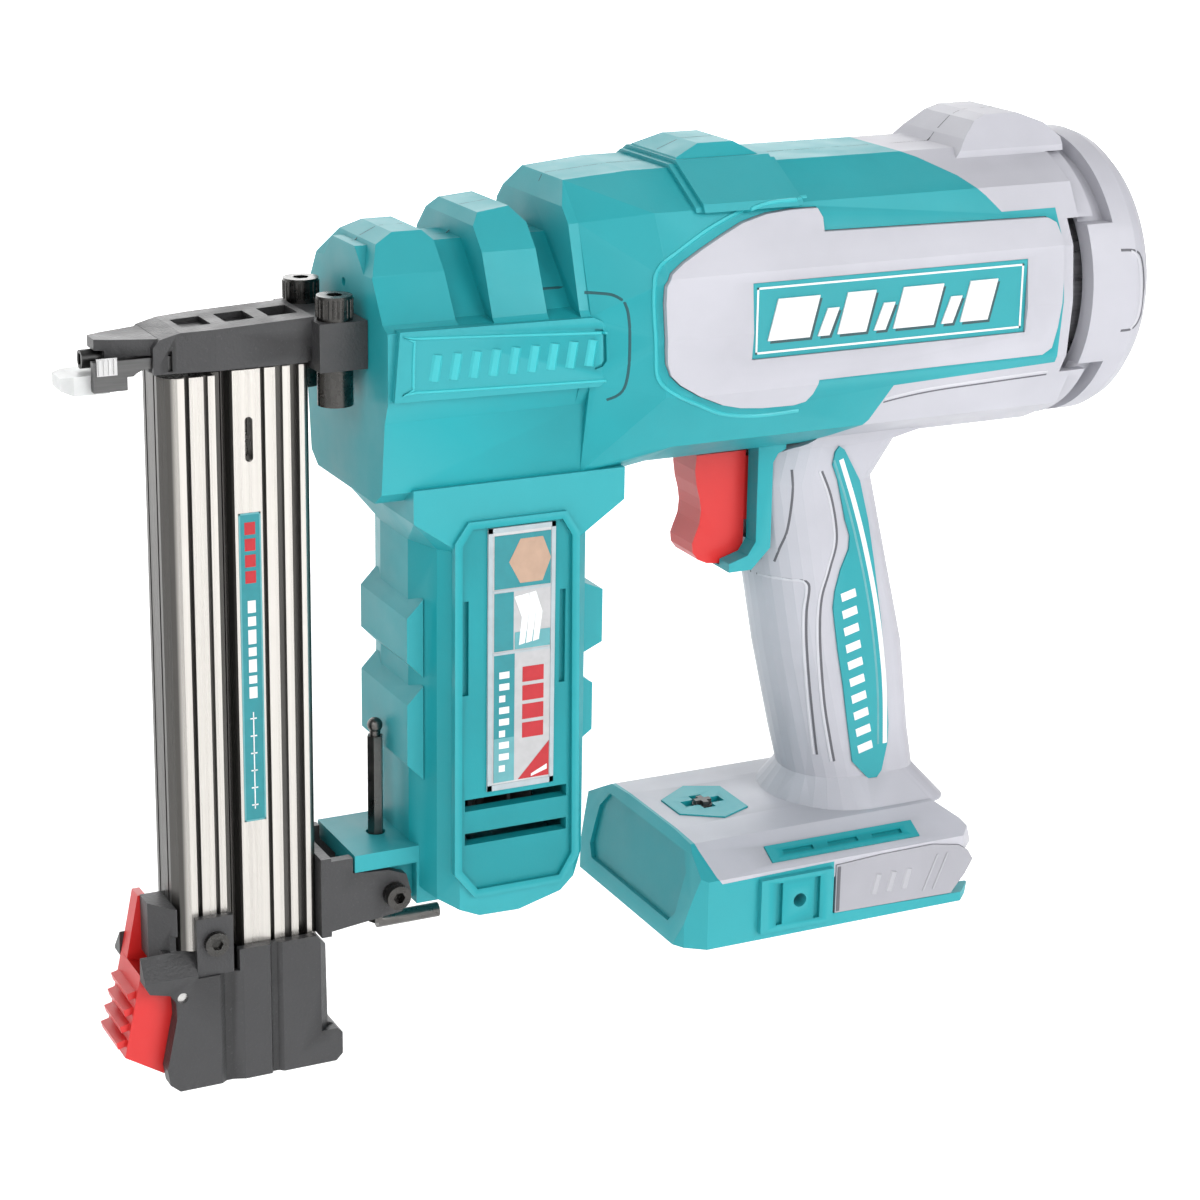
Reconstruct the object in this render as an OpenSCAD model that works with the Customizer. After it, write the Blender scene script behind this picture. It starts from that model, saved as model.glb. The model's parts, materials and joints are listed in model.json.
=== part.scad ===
/* [Overall layout] */
// Height of the driver axis above the foot
drive_z = 206; // [204:0.5:208]
// Position of the motor axis along the tool
motor_x = -45; // [-46:0.5:-44]
// Facets on round parts
round_fn = 48; // [24:8:96]

/* [Barrel and nose housing] */
// Half width of the barrel across the flats
barrel_half = 40.5; // [40:0.5:41]
// Position of the front face of the nose housing
nose_front_x = -84; // [-85:0.5:-83]
// Position where the grey rear housing starts on top
rear_start_x = 83; // [81:1:85]
// Rear end of the tool
rear_end_x = 152; // [151:0.5:153.5]

/* [Motor column] */
// Front of the column
column_front_x = -70; // [-71:0.5:-69.5]
// Rear of the column
column_rear_x = -20; // [-20.5:0.5:-19]
// Half width of the column
column_half = 27.5; // [27:0.5:29]
// Height of the column's lower end
column_low_z = 43; // [42:0.5:45]

/* [Handle and battery base] */
// Half width of the grip
grip_half = 16.5; // [15.5:0.5:18]
// Half width of the battery base
base_half = 38; // [37:0.5:39]
// Underside of the battery base
base_low_z = 24.5; // [24:0.5:26]

/* [Magazine] */
// Half width of the magazine extrusions
mag_half = 11; // [10.5:0.5:11.5]
// Top of the magazine
mag_top_z = 201; // [200:0.5:201.5]

/* [Drive train] */
// Travel of the piston and driver blade
drive_stroke = 55; // [50:1:55]
// Pitch radius of the lifting pins
pin_circle_r = 11; // [11:1:11]
// Number of lifting pins
pin_count = 9; // [9:1:9]
// Teeth on the sun gear
sun_teeth = 12; // [12:1:12]
// Teeth on each planet gear
planet_teeth = 12; // [12:1:12]
// Teeth on the ring gear
ring_teeth = 36; // [36:1:36]
// Tooth module of the planetary stage
planet_module = 0.9; // [0.9:0.01:0.92]
// Teeth on the output pinion
pinion_teeth = 12; // [12:1:12]
// Teeth on the lift wheel
wheel_teeth = 24; // [24:1:24]

/* [Hidden] */
$fn = round_fn;

// Colours
teal = [0.10, 0.62, 0.66];
pale_grey = [0.80, 0.80, 0.83];
dark_grey = [0.22, 0.22, 0.23];
bare_metal = [0.78, 0.76, 0.73];
signal_red = [0.80, 0.08, 0.08];

// Front of the tip, and the shift that centres the whole tool over the origin
tip_front_x = -163.5;
centre_shift = -(tip_front_x + rear_end_x) / 2;

// Small distances shared by all parts
far = 200;
inlay_seat_y = 1.5 - grip_half;

// Driver and lifter geometry
pin_pitch = 7;
pin_step_deg = pin_pitch / pin_circle_r * 180 / PI;
pin_r = 1.6;
lift_y = 10.5;
pair_distance = (pinion_teeth + wheel_teeth) / 2;
lift_x = motor_x + sqrt(pair_distance * pair_distance - lift_y * lift_y);
// Turn of the lift wheel's teeth that meshes them with the pinion at rest
pair_deg = atan2(lift_y, lift_x - motor_x);
wheel_phase = 180 + pair_deg + 180 / wheel_teeth + pair_deg * pinion_teeth / wheel_teeth;
blade_half_z = 1.5;
blade_front_x = -153;
blade_wide_x = lift_x - pin_pitch * (pin_count - 0.5) - 2.2;
tank_front_x = -9;
piston_front_x = 0;
frame_z = 168.8;
lift_gear_z = 179;
lift_gear_w = 6.6;
piston_len = 12;
sleeve_r = 19;
sleeve_rear_x = piston_front_x + piston_len + drive_stroke + 3;

// Planetary stage
planet_orbit_r = planet_module * (sun_teeth + planet_teeth) / 2;
gear_z = 145;
gear_w = 10;

// Magazine positions
rail_front_x = -121.5;
rail_rear_x = -98;
cover_front_x = -138.5;
cover_rear_x = -122;
rail_low_z = 38;
cover_low_z = 40;
foot_rear_x = -92;
bracket_bolt = [-76.3, 48.3];
latch_pivot = [-138.6, 28];
nose_screw_y = 12.5;
nose_screw_x = -91.5;

// Screws that join the halves: x, z and half the width they clamp
front_screws = [[-72, 220, 17], [-45, 54, 26]];
rear_screws = [[60, 167, 16.5], [85, 92, 14.5], [86, 61, 15]];

// Battery base: height of the side walls, and of the flat on top
base_wall_z = 45.5;
base_flat_z = 52.4;
base_flat_half = 25.5;
base_slope_deg = atan2(base_flat_z - base_wall_z, base_half - base_flat_half);
button_x = 29;
clip_hole = [40.3, 35.6];

// ---- Shared shape helpers ----

// Closes a half outline with its mirror image about the first axis
function mirrored(p) = concat(p, [for (i = [len(p) - 1:-1:0]) [-p[i][0], p[i][1]]]);
// Moves an outline from the driver axis to its height
function at_axis(p) = [for (q = p) [q[0], q[1] + drive_z]];

module along_x(x0, x1) {
    translate([x0, 0, 0]) rotate([90, 0, 90]) linear_extrude(x1 - x0) children();
}

module along_y(y0, y1) {
    translate([0, y1, 0]) rotate([90, 0, 0]) linear_extrude(y1 - y0) children();
}

module along_z(z0, z1) {
    translate([0, 0, z0]) linear_extrude(z1 - z0) children();
}

// Box given by its two corners
module block(a, b) {
    translate(a) cube(b - a);
}

// Rod of radius r along X, centred on y, z
module rod_x(x0, x1, r, y = 0, z = drive_z) {
    translate([x0, y, z]) rotate([0, 90, 0]) cylinder(h = x1 - x0, r = r);
}

// Rod of radius r along Y, centred on x, z
module rod_y(y0, y1, r, x, z) {
    translate([x, y1, z]) rotate([90, 0, 0]) cylinder(h = y1 - y0, r = r);
}

// Rod of radius r along Z, centred on x, y
module rod_z(z0, z1, r, x, y) {
    translate([x, y, z0]) cylinder(h = z1 - z0, r = r);
}

// Moves its children so that the tool is centred over the origin
module placed() {
    translate([centre_shift, 0, 0]) children();
}

// The half space on one side of the centre plane: side -1 is the left half
module half_space(side) {
    translate([-2 * far, side < 0 ? -far : 0, -far]) cube([4 * far, far, 4 * far]);
}

// Its children on both sides of the centre plane
module both_sides() {
    children();
    mirror([0, 1, 0]) children();
}

// ---- Outer shape of the housings ----

module barrel_section(grow = 0) {
    k = (barrel_half + grow) / 40.5;
    polygon(at_axis(mirrored([[14, -40.5] * k, [30, -32.5] * k, [39, -16] * k, [40.5, 0] * k,
        [39, 16] * k, [30, 32.5] * k, [14, 41.5] * k])));
}

// Section of the nose housing: top_half and top_h set the flat on top
module nose_section(side_half, top_half, top_h, shoulder) {
    polygon(at_axis(mirrored([[21, -41.5], [26, -38], [27, -30], [28.5, -18], [side_half, -12],
        [side_half, 6.5], [side_half - shoulder, 8], [top_half + 10, top_h - 10],
        [top_half, top_h]])));
}

module nose_housing_outer() {
    x = nose_front_x;
    along_x(x, -26) nose_section(31, 8, 25.5, 6);
    // Two raised ribs over the top
    intersection() {
        along_x(x, -63.5) nose_section(30.5, 10, 29.5, 3);
        along_y(-far, far) polygon([[x, 160], [x, 225], [x + 4, 232.5], [x + 9.5, 235],
            [-66, 235], [-63.5, 232.5], [-63.5, 160]]);
    }
    intersection() {
        along_x(-54.5, -38) nose_section(31, 12, 34, 1.5);
        along_y(-far, far) polygon([[-54.5, 160], [-53.5, 236], [-51, 239], [-41.5, 240],
            [-38, 236], [-38, 160]]);
    }
    // Step up to the barrel
    intersection() {
        along_x(-29, -26) nose_section(31.5, 13, 40, 1);
        along_y(-far, far) polygon([[-29, 160], [-29, 240], [-26, 246], [-26, 160]]);
    }
    // Raised band with rounded rear corners on each side
    both_sides() along_y(-33, -28) polygon([[x + 1, 194.6], [x + 2.6, 213.2], [-26, 212.4],
        [-23.4, 211.2], [-21.7, 208.7], [-20.5, 197.5], [-21.5, 194.8], [-24, 193.4]]);
}

module barrel_outer() {
    along_x(0, 126) barrel_section();
    hull() {
        along_x(-26, -25) nose_section(31.5, 13, 40, 1);
        along_x(-7, 0) barrel_section();
    }
    // Middle hump and the band that runs down from it on both sides
    intersection() {
        along_y(-18, 18) polygon([[4, 240], [8, 250], [16, 253], [27, 253], [35, 248.5], [39, 240]]);
        along_x(0, 45) polygon(mirrored([[21, 238], [17, 246], [10, 253.5]]));
    }
    intersection() {
        union() {
            along_x(5, 38) barrel_section(1);
            along_x(7, 36) barrel_section(2);
        }
        block([0, -far, 238], [45, far, 260]);
    }
}

module column_section() {
    f = column_front_x;
    r = column_rear_x;
    w = column_half;
    polygon([[f, 10], [f + 3.5, w - 5.5], [f + 8, w], [r - 7, w], [r - 2, w - 5.5], [r, 12],
        [r, -12], [r - 2, 5.5 - w], [r - 7, -w], [f + 8, -w], [f + 3.5, 5.5 - w], [f, -10]]);
}

// Rib on the front or the rear of the column
module column_rib(x, out, z0, z1, half) {
    slope = 5;
    along_y(-half, half) polygon([[x - out / 2, z0], [x + out, z0 + slope], [x + out, z1 - slope],
        [x - out / 2, z1]]);
}

module column_outer() {
    f = column_front_x;
    r = column_rear_x;
    w = column_half;
    intersection() {
        along_z(column_low_z, 160) column_section();
        along_y(-far, far) polygon([[f - 5, 170], [f - 5, 54], [f + 2, 48.6],
            [f + 14, column_low_z + 0.3], [f + 26, column_low_z], [r - 11, 46.5], [r - 5, 52.2],
            [r + 5, 62], [r + 5, 170]]);
    }
    column_rib(f, -3.2, 112, 134.5, 17);
    column_rib(f, -3.2, 82, 109.5, 17);
    column_rib(r, 7.6, 109, 134.5, 14);
    column_rib(r, 4.8, 83, 107, 14);
    // Flare under the barrel
    hull() {
        along_z(150, 151) column_section();
        block([f - 5.5, -w, 159.5], [r + 7, w, 168.6]);
    }
    // Raised frame round the side faces
    both_sides() along_y(-column_half - 1.2, -column_half + 1) difference() {
        polygon([[f + 6, 153], [f + 10, 158.5], [r - 11, 158.5], [r - 7, 152], [r - 6, 57],
            [r - 11, 49.5], [f + 12, 49.5], [f + 6, 57]]);
        polygon([[f + 8.2, 152], [f + 11.2, 156.4], [r - 12.2, 156.4], [r - 9.2, 151.5],
            [r - 8.2, 58], [r - 12, 51.8], [f + 13, 51.8], [f + 8.2, 58]]);
    }
    // Ledge at the foot of the column, which carries the magazine bracket
    block([-88, -14.5, 56.5], [-60, 14.5, 61.5]);
    block([-69.5, -14.5, 44], [-60, 14.5, 57]);
    block([-84, -11.2, 45], [-68, 11.2, 57]);
}

// Slice of the grip: round at the front, with two small corners at the rear
module grip_slice(z, front, rear, half = grip_half) {
    corner = 7;
    translate([0, 0, z]) linear_extrude(0.5) {
        translate([front + half, 0]) circle(half, $fn = 32);
        for (side = [-1, 1]) translate([rear - corner, side * (half - corner)])
            circle(corner, $fn = 24);
    }
}

module grip_outer() {
    hull() {
        grip_slice(171.5, 39, 112, 19);
        grip_slice(164, 39, 83);
    }
    hull() {
        grip_slice(164, 39, 83);
        grip_slice(153, 36.5, 75.3);
    }
    hull() {
        grip_slice(153, 36.5, 75.3);
        grip_slice(100, 46.4, 88.5);
    }
    hull() {
        grip_slice(100, 46.4, 88.5);
        grip_slice(72, 53, 92.2);
    }
    hull() {
        grip_slice(72, 53, 92.2);
        grip_slice(60, 56.2, 94.5);
    }
    hull() {
        grip_slice(60, 56.2, 94.5);
        grip_slice(51.5, 50, 101, 24);
    }
}

module base_outer() {
    w = base_half;
    intersection() {
        along_x(0, 108) polygon(mirrored([[w, base_low_z], [w, base_wall_z],
            [base_flat_half, base_flat_z], [15, base_flat_z + 0.6]]));
        along_y(-far, far) polygon([[2.6, 20], [3.5, 24], [7.2, 39], [10.4, 50.5], [12.5, 54],
            [60, 54], [92, 54], [99, 48.7], [106, 37], [105, 30], [98, 20]]);
        along_z(20, 70) polygon([[0, -24], [5.5, -34], [11, -w], [97, -w], [106, -w + 9],
            [106, w - 9], [97, w], [11, w], [5.5, 34], [0, 24]]);
    }
}

// Region of the outer shape that the teal housings take up
module teal_region() {
    x = rear_start_x;
    along_y(-far, far) polygon([[-far, 0], [-1, 0], [-1, 120], [26, 125], [36, 128], [42, 134.3],
        [42, 160], [43.5, 162.5], [46.5, 163.8], [51.3, 165.5], [56, 168.6], [62, 175], [66, 186],
        [119, 188], [119, 232], [101, 232], [97, 236.5], [91.5, 241.5], [x, 246], [x - 4, 247.5],
        [x - 4, 300], [-far, 300]]);
}

// Everything hollow inside the housings
module inner_space() {
    barrel_core();
    along_x(nose_front_x + 3.5, tank_front_x + 1)
        polygon(mirrored([[17, 168.4], [24.5, 178.5], [25, 186], [25, 212]]));
    translate([motor_x, 0]) along_z(56, 168.4) polygon([[-21.3, 13.5], [-19.3, 20.6], [-16.8, 23.8],
        [18, 23.8], [20.8, 20.7], [21.3, 17.7], [21.3, -17.7], [20.8, -20.7], [18, -23.8],
        [-16.8, -23.8], [-19.3, -20.6], [-21.3, -13.5]]);
    // Blade and nose guide passage
    block([-96, -9, 200.5], [-80, 9, 211.5]);
    // Grip and trigger cavity
    along_y(-11.5, 11.5) polygon([[49, 172], [49, 153], [51, 128], [56, 100], [62.5, 72], [66, 60],
        [88, 60], [87, 72], [84.5, 100], [77.5, 128], [71.5, 153], [71.5, 172]]);
    block([37, -7.2, 133], [51, 7.2, 163]);
    board_space();
    block([66, -11, 45], [88, 11, 60.5]);
}

// Room for the control board in the base, lower under the button
module board_space() {
    along_x(14, 92) polygon(mirrored([[31, 40], [31, 44.9]]));
    along_x(44, 92) polygon(mirrored([[31, 40], [31, 45.9], [24.5, 49.6]]));
}

// Seats cut into the housings for parts that sit on their surface
module surface_cuts() {
    // Side cover pockets
    both_sides() difference() {
        along_y(-far, -25) cover_outline(0.2);
        along_x(-20, 130) barrel_section(-2.4);
    }
    // Vents and slots of the column
    both_sides() {
        block([-60.5, -far, 75], [-29.5, -20, 78.5]);
        block([-60.5, -far, 65], [-29.5, -20, 68.5]);
        block([-61.5, -far, 109], [-59.5, -26.2, 136]);
        block([-32.3, -far, 109], [-30.5, -26.2, 136]);
    }
    // Bracket-shaped groove at the rear of the band on the nose housing
    both_sides() along_y(-40, -32.3) polygon([[-25.5, 209.4], [-23.2, 209], [-22.3, 207.6],
        [-22, 200.4], [-22.9, 198.9], [-25.3, 198.2], [-25.3, 199], [-23.4, 199.6], [-22.9, 200.6],
        [-23.1, 207.2], [-23.7, 208.2], [-25.5, 208.6]]);
    // Hex key hole through the ledge
    rod_z(30, 70, 2.8, -76, 0);
    // Bracket screw hole across the ledge
    both_sides() rod_y(-20, -4.6, 2.05, bracket_bolt[0], bracket_bolt[1]);
    // Sight hole in the front cap
    rod_x(-90, -80, 1.2, 0, 220.5);
    // Vent strip, button and side panel pockets of the base
    both_sides() {
        strip_pocket();
        along_y(-far, -35.5) panel_outline(0.15);
    }
    both_sides() along_y(-far, inlay_seat_y) leaf_outline();
    along_z(46.4, 70) bezel_outline(0.2);
    rod_z(42, 70, 3.4, button_x, 0);
    // Trigger channel
    block([12, -7.2, 129.5], [43, 7.2, 163.4]);
}

// Places its children on the left slope of the base, with z = 0 on its surface
module on_base_slope() {
    translate([0, -base_half, base_wall_z]) rotate([base_slope_deg, 0, 0]) children();
}

module strip_pocket() {
    on_base_slope() block([33, 2.6, -1.3], [83, 8.8, 3]);
}

// Posts that the screws of a housing run through
module screw_posts(spots) {
    for (p = spots) rod_y(-p[2] + 1, p[2] - 1, 4.4, p[0], p[1]);
}

// Holes for those screws, counterbored on the right side
module screw_holes(spots) {
    for (p = spots) {
        rod_y(p[2] - 3.4, far, 3.2, p[0], p[1]);
        rod_y(-p[2] + 5.5, p[2], 1.55, p[0], p[1]);
    }
}

module shoe_region() {
    along_y(-far, far) polygon([[0, 20], [110, 20], [110, 27], [52.5, 28.4], [52.5, 44.9],
        [15.5, 44.2], [14.2, 46], [13, 51], [12, 60], [0, 60]]);
}

module cover_outline(grow = 0) {
    offset(delta = grow) polygon([[43, 234.5], [42, 236.9], [34, 237], [26, 236.4], [18, 234.6],
        [11, 231.8], [4, 228.8], [-2, 226], [-6, 223.6], [-7.9, 220.5], [-8.3, 216], [-8, 204],
        [-7.6, 199.6], [-6.2, 196.2], [-3, 193.2], [3, 189.6], [11, 186], [17, 184.4], [24, 183.6],
        [34, 183.4], [37.5, 184.2], [39, 186.5], [39.8, 190.8], [113, 191.2], [116, 193],
        [117.2, 199], [118.2, 212], [118.4, 224], [117.5, 228.4], [115, 229.8], [42.5, 230.9]]);
}

module panel_outline(grow = 0) {
    offset(delta = grow) polygon([[53.2, 28.6], [93.3, 27.8], [98, 33.5], [100.4, 37.7],
        [98.5, 40.8], [95.2, 42.9], [86, 44.6], [68, 44.4], [53.2, 43.6]]);
}

module front_housing(side) {
    intersection() {
        difference() {
            union() {
                intersection() {
                    barrel_outer();
                    teal_region();
                }
                nose_housing_outer();
                column_outer();
                // Surround behind the trigger
                along_y(-13, 13) polygon([[37, 170], [37, 137], [34.5, 133.2], [28.5, 131.4],
                    [28.5, 128.8], [35.8, 128.8], [41.9, 134.8], [41.9, 160.2], [43.4, 162.7],
                    [46, 163.9], [46, 170]]);
            }
            difference() {
                inner_space();
                screw_posts(front_screws);
            }
            surface_cuts();
            screw_holes(front_screws);
        }
        half_space(side);
    }
}

module rear_housing(side) {
    intersection() {
        difference() {
            union() {
                difference() {
                    union() {
                        barrel_outer();
                        rear_hump();
                    }
                    teal_region();
                    cap_gap();
                }
                difference() {
                    union() {
                        grip_outer();
                        base_outer();
                    }
                    barrel_core();
                    teal_region();
                    shoe_region();
                    block([0, -far, 0], [110, far, 40]);
                }
            }
            difference() {
                inner_space();
                screw_posts(rear_screws);
            }
            surface_cuts();
            screw_holes(rear_screws);
        }
        half_space(side);
    }
}

// The barrel's own space, which the grip's top must not fill
module barrel_core() {
    rod_x(tank_front_x - 1, 136, 36.2);
}

module rear_hump() {
    intersection() {
        along_y(-20, 20) polygon([[94, 244], [99, 250], [104, 254.5], [108, 256], [119, 256],
            [127, 253], [131.2, 249], [131.2, 245.3], [125, 245.3], [125, 244]]);
        along_x(94, 131.2) polygon(mirrored([[19, 240], [18, 247], [12, 256]]));
    }
    // Upper and lower tails that run back between the cap's tabs
    intersection() {
        difference() {
            rod_x(125.5, 131.2, 41.8);
            rod_x(125, 133, 39.2);
        }
        union() {
            block([125, -60, drive_z + 23], [133, 60, 260]);
            block([125, -60, 150], [133, 60, drive_z - 21.5]);
        }
    }
}

// Groove between the rear housing and the end cap
module cap_gap() {
    block([122.1, -60, drive_z - 21.5], [127.6, 60, drive_z + 23]);
}

module front_housing_left() {
    placed() color(teal) front_housing(-1);
}

module front_housing_right() {
    placed() color(teal) front_housing(1);
}

module rear_housing_left() {
    placed() color(pale_grey) rear_housing(-1);
}

module rear_housing_right() {
    placed() color(pale_grey) rear_housing(1);
}

// Grey cover on the side of the barrel with a rimmed window for the badge
module side_cover() {
    difference() {
        intersection() {
            along_x(-9, 119) barrel_section(1.1);
            along_y(-60, -25) cover_outline();
        }
        along_x(-10, 120) barrel_section(-2.3);
        along_y(-60, -25) badge_outline(0.1);
    }
}

module badge_outline(grow = 0) {
    offset(delta = grow) polygon([[18.1, 219.4], [106, 219.4], [106, 198.6], [18.1, 198.6]]);
}

module side_cover_left() {
    placed() color(pale_grey) side_cover();
}

module side_cover_right() {
    placed() color(pale_grey) mirror([0, 1, 0]) side_cover();
}

module badge_plates() {
    placed() color(teal) both_sides() difference() {
        along_y(-40.3, -30) badge_outline();
        along_x(0, 120) barrel_section(-2.3);
    }
}

module end_cap() {
    r = 42.2;
    e = rear_end_x;
    placed() color(pale_grey) {
        translate([0, 0, drive_z + 0.8]) rotate([0, 90, 0]) rotate_extrude() polygon([[0, e],
            [30, e], [34.5, e - 1], [38.5, e - 3], [41, e - 5.8], [r, e - 9], [r, 136.6],
            [38, 136.6], [38, 128], [36.5, 128], [36.5, e - 3.5], [0, e - 3.5]]);
        // Tabs that reach forward on both sides
        both_sides() intersection() {
            difference() {
                translate([0, 0, 0.8]) rod_x(127.8, 137, r);
                rod_x(127, 138, 37.8);
            }
            block([120, -60, drive_z - 19.5], [140, -20, drive_z + 21]);
        }
    }
}

// Leaf-shaped inlay on each side of the grip
module grip_inserts() {
    placed() color(teal) both_sides() along_y(-grip_half - 0.6, inlay_seat_y) leaf_outline();
}

module leaf_outline() {
    polygon([[60, 162.4], [61.3, 164], [63, 162.8], [68.6, 153], [72, 140.6], [74.6, 128],
        [78, 109], [80.7, 90], [82.2, 76], [82.2, 70], [80.6, 61.4], [79, 59.4], [76, 59.5],
        [70.3, 65.6], [68, 78], [66, 90], [63.6, 101.8], [61.4, 115], [61.8, 120], [63.4, 126.5],
        [65.9, 132.5], [66, 136.5], [64.2, 141.6], [61.2, 153.9], [59.3, 158.6]]);
}

module column_label() {
    placed() color([0.75, 0.76, 0.78]) along_y(-column_half - 0.5, -column_half)
        polygon([[-54, 155.8], [-34, 155.8], [-34, 80.2], [-54, 80.2]]);
}

module battery_shoe() {
    w = base_half;
    placed() color(teal) difference() {
        union() {
            intersection() {
                base_outer();
                shoe_region();
            }
            // Walls beside the battery rails
            both_sides() block([52, -w + 2.6, 29], [94, -w + 7, 40]);
            // Belt clip bosses on both sides
            both_sides() block([27.5, -w - 1.8, 27], [51.5, -w + 4, 43.6]);
        }
        // Room for the battery's head, open below and at the rear
        block([14, -31, 20], [110, 31, 40.1]);
        board_space();
        // Sunken panel in the slanting front face
        intersection() {
            along_x(-5, 14) polygon(mirrored([[25, 29.5], [28, 33], [28, 45], [24, 50]]));
            along_y(-40, 40) polygon([[-5, 20], [4, 20], [8.4, 39], [11.6, 52], [-5, 52]]);
        }
        both_sides() {
            rod_y(-w - 5, -30, 2.1, clip_hole[0], clip_hole[1]);
            block([32.5, -w - 3, 29], [34.5, -w - 0.7, 42]);
            block([45, -w - 3, 29], [47, -w - 0.7, 42]);
        }
    }
    // Rails that the battery hooks onto
    placed() color(teal) both_sides() block([22, -31.5, 26.5], [92, -26, 29.5]);
}

module shoe_panels() {
    placed() color([0.66, 0.66, 0.70]) both_sides() intersection() {
        along_y(-base_half - 0.3, -35.5) panel_outline();
        block([40, -60, 20], [103, 0, 60]);
    }
}

module vent_strips() {
    placed() color(teal) both_sides() on_base_slope() difference() {
        block([33.1, 2.7, -1.2], [82.9, 8.7, 0.4]);
        for (x = [38, 53, 68]) block([x, 4.8, -0.4], [x + 10, 6.4, 3]);
    }
}

module bezel_outline(grow = 0) {
    offset(delta = grow) polygon([[18.3, -5.9], [29.5, -13.2], [39.7, -8.7], [39.7, 8.7],
        [29.5, 13.2], [18.3, 5.9]]);
}

module button_bezel() {
    placed() color(teal) difference() {
        along_z(46.6, 53.4) bezel_outline();
        rod_z(40, 60, 3.2, button_x, 0);
        translate([button_x, 0, 51.8]) {
            block([-6.4, -2, 0], [6.4, 2, 5]);
            block([-2, -5, 0], [2, 5, 5]);
        }
    }
}

// Round press button with a raised cross
module mode_button() {
    placed() color(dark_grey) {
        rod_z(47, 52.8, 3, button_x, 0);
        block([button_x - 2.6, -0.9, 52.6], [button_x + 2.6, 0.9, 54.2]);
        block([button_x - 0.9, -2.6, 52.6], [button_x + 0.9, 2.6, 54.2]);
    }
}

module button_spring() {
    placed() color(bare_metal) difference() {
        rod_z(45.2, 46.8, 2.6, button_x, 0);
        rod_z(44, 48, 1.8, button_x, 0);
    }
}

module trigger() {
    placed() color(signal_red) {
        along_y(-6.8, 6.8) polygon([[20.4, 163], [20, 158.5], [20.6, 154], [21.7, 150],
            [22.2, 146.5], [21.8, 142.5], [20.6, 139.5], [19.6, 136.8], [19.9, 134], [21.6, 131.8],
            [24.5, 130.4], [28, 130], [33, 130.2], [35.4, 131.4], [36.2, 133.5], [36.3, 163]]);
        block([36, -6, 142], [43.5, 6, 161]);
    }
}

module trigger_spring() {
    placed() color(bare_metal) difference() {
        rod_x(43.7, 49.7, 3, 0, 156);
        rod_x(43, 50.5, 2.2, 0, 156);
    }
}

module trigger_switch() {
    placed() color(dark_grey) {
        block([51, -9, 136], [68, 9, 162]);
        rod_x(50.1, 51.5, 4, 0, 146);
    }
}

module control_board() {
    placed() color([0.05, 0.3, 0.15]) block([46, -28, 44], [90, 28, 45.5]);
    placed() color(dark_grey) for (x = [60, 72, 84]) block([x - 3, -6, 45.4], [x + 3, 6, 49]);
}

module terminal_block() {
    placed() color(dark_grey) block([46, -18, 38.5], [72, 18, 43.9]);
    placed() color([0.85, 0.65, 0.3]) for (y = [-14, -5, 5, 14])
        block([48, y - 0.5, 30], [68, y + 0.5, 39]);
}

// ---- Motor ----

module motor_can() {
    placed() color(bare_metal) difference() {
        rod_z(82, 136, 19, motor_x, 0);
        rod_z(84, 134, 16.5, motor_x, 0);
        rod_z(81, 85, 5.5, motor_x, 0);
        rod_z(133, 137, 5.5, motor_x, 0);
    }
}

module motor_bearings() {
    placed() color(bare_metal) for (z = [82, 131]) difference() {
        rod_z(z, z + 5, 5.5, motor_x, 0);
        rod_z(z - 1, z + 6, 2.55, motor_x, 0);
    }
}

module motor_rotor() {
    placed() color(bare_metal) {
        rod_z(62, 155.6, 2.5, motor_x, 0);
        difference() {
            rod_z(90, 128, 15.9, motor_x, 0);
            for (a = [0:60:300]) translate([motor_x, 0, 89]) rotate(a)
                block([12, -1.2, 0], [17, 1.2, 40]);
        }
    }
}

module cooling_fan() {
    blades = 9;
    placed() color(dark_grey) translate([motor_x, 0, 0]) {
        difference() {
            rod_z(64, 66, 17, 0, 0);
            rod_z(63, 67, 2.5, 0, 0);
        }
        difference() {
            rod_z(66, 74, 5, 0, 0);
            rod_z(65, 75, 2.5, 0, 0);
        }
        for (i = [0:blades - 1]) rotate(i * 360 / blades) block([4.5, -0.6, 65.9], [16.5, 0.6, 75]);
    }
}

// ---- Planetary stage: teeth count n, tooth module m ----

// Outline of one straight-sided tooth pointing along +X
module tooth(n, m, out = 0.85, base = 1.2) {
    r = n * m / 2;
    polygon([[r - base * m - 0.3, -0.86 * m], [r - base * m, -0.86 * m], [r, -0.66 * m],
        [r + out * m, -0.3 * m], [r + out * m, 0.3 * m], [r, 0.66 * m], [r - base * m, 0.86 * m],
        [r - base * m - 0.3, 0.86 * m]]);
}

module gear_outline(n, m, bore, phase = 0) {
    difference() {
        union() {
            circle(n * m / 2 - 1.15 * m);
            for (i = [0:n - 1]) rotate(i * 360 / n + phase) tooth(n, m);
        }
        circle(bore);
    }
}

module sun_gear() {
    placed() color(bare_metal) translate([motor_x, 0, gear_z]) linear_extrude(gear_w)
        gear_outline(sun_teeth, planet_module, 2.5);
}

module planet_gear(angle) {
    placed() color(bare_metal) translate([motor_x, 0, gear_z + 0.3]) rotate(angle)
        translate([planet_orbit_r, 0, 0]) linear_extrude(gear_w - 0.6)
        gear_outline(planet_teeth, planet_module, 1.55, 180 / planet_teeth);
}

module planet_gear_a() {
    planet_gear(0);
}

module planet_gear_b() {
    planet_gear(120);
}

module planet_gear_c() {
    planet_gear(240);
}

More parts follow.
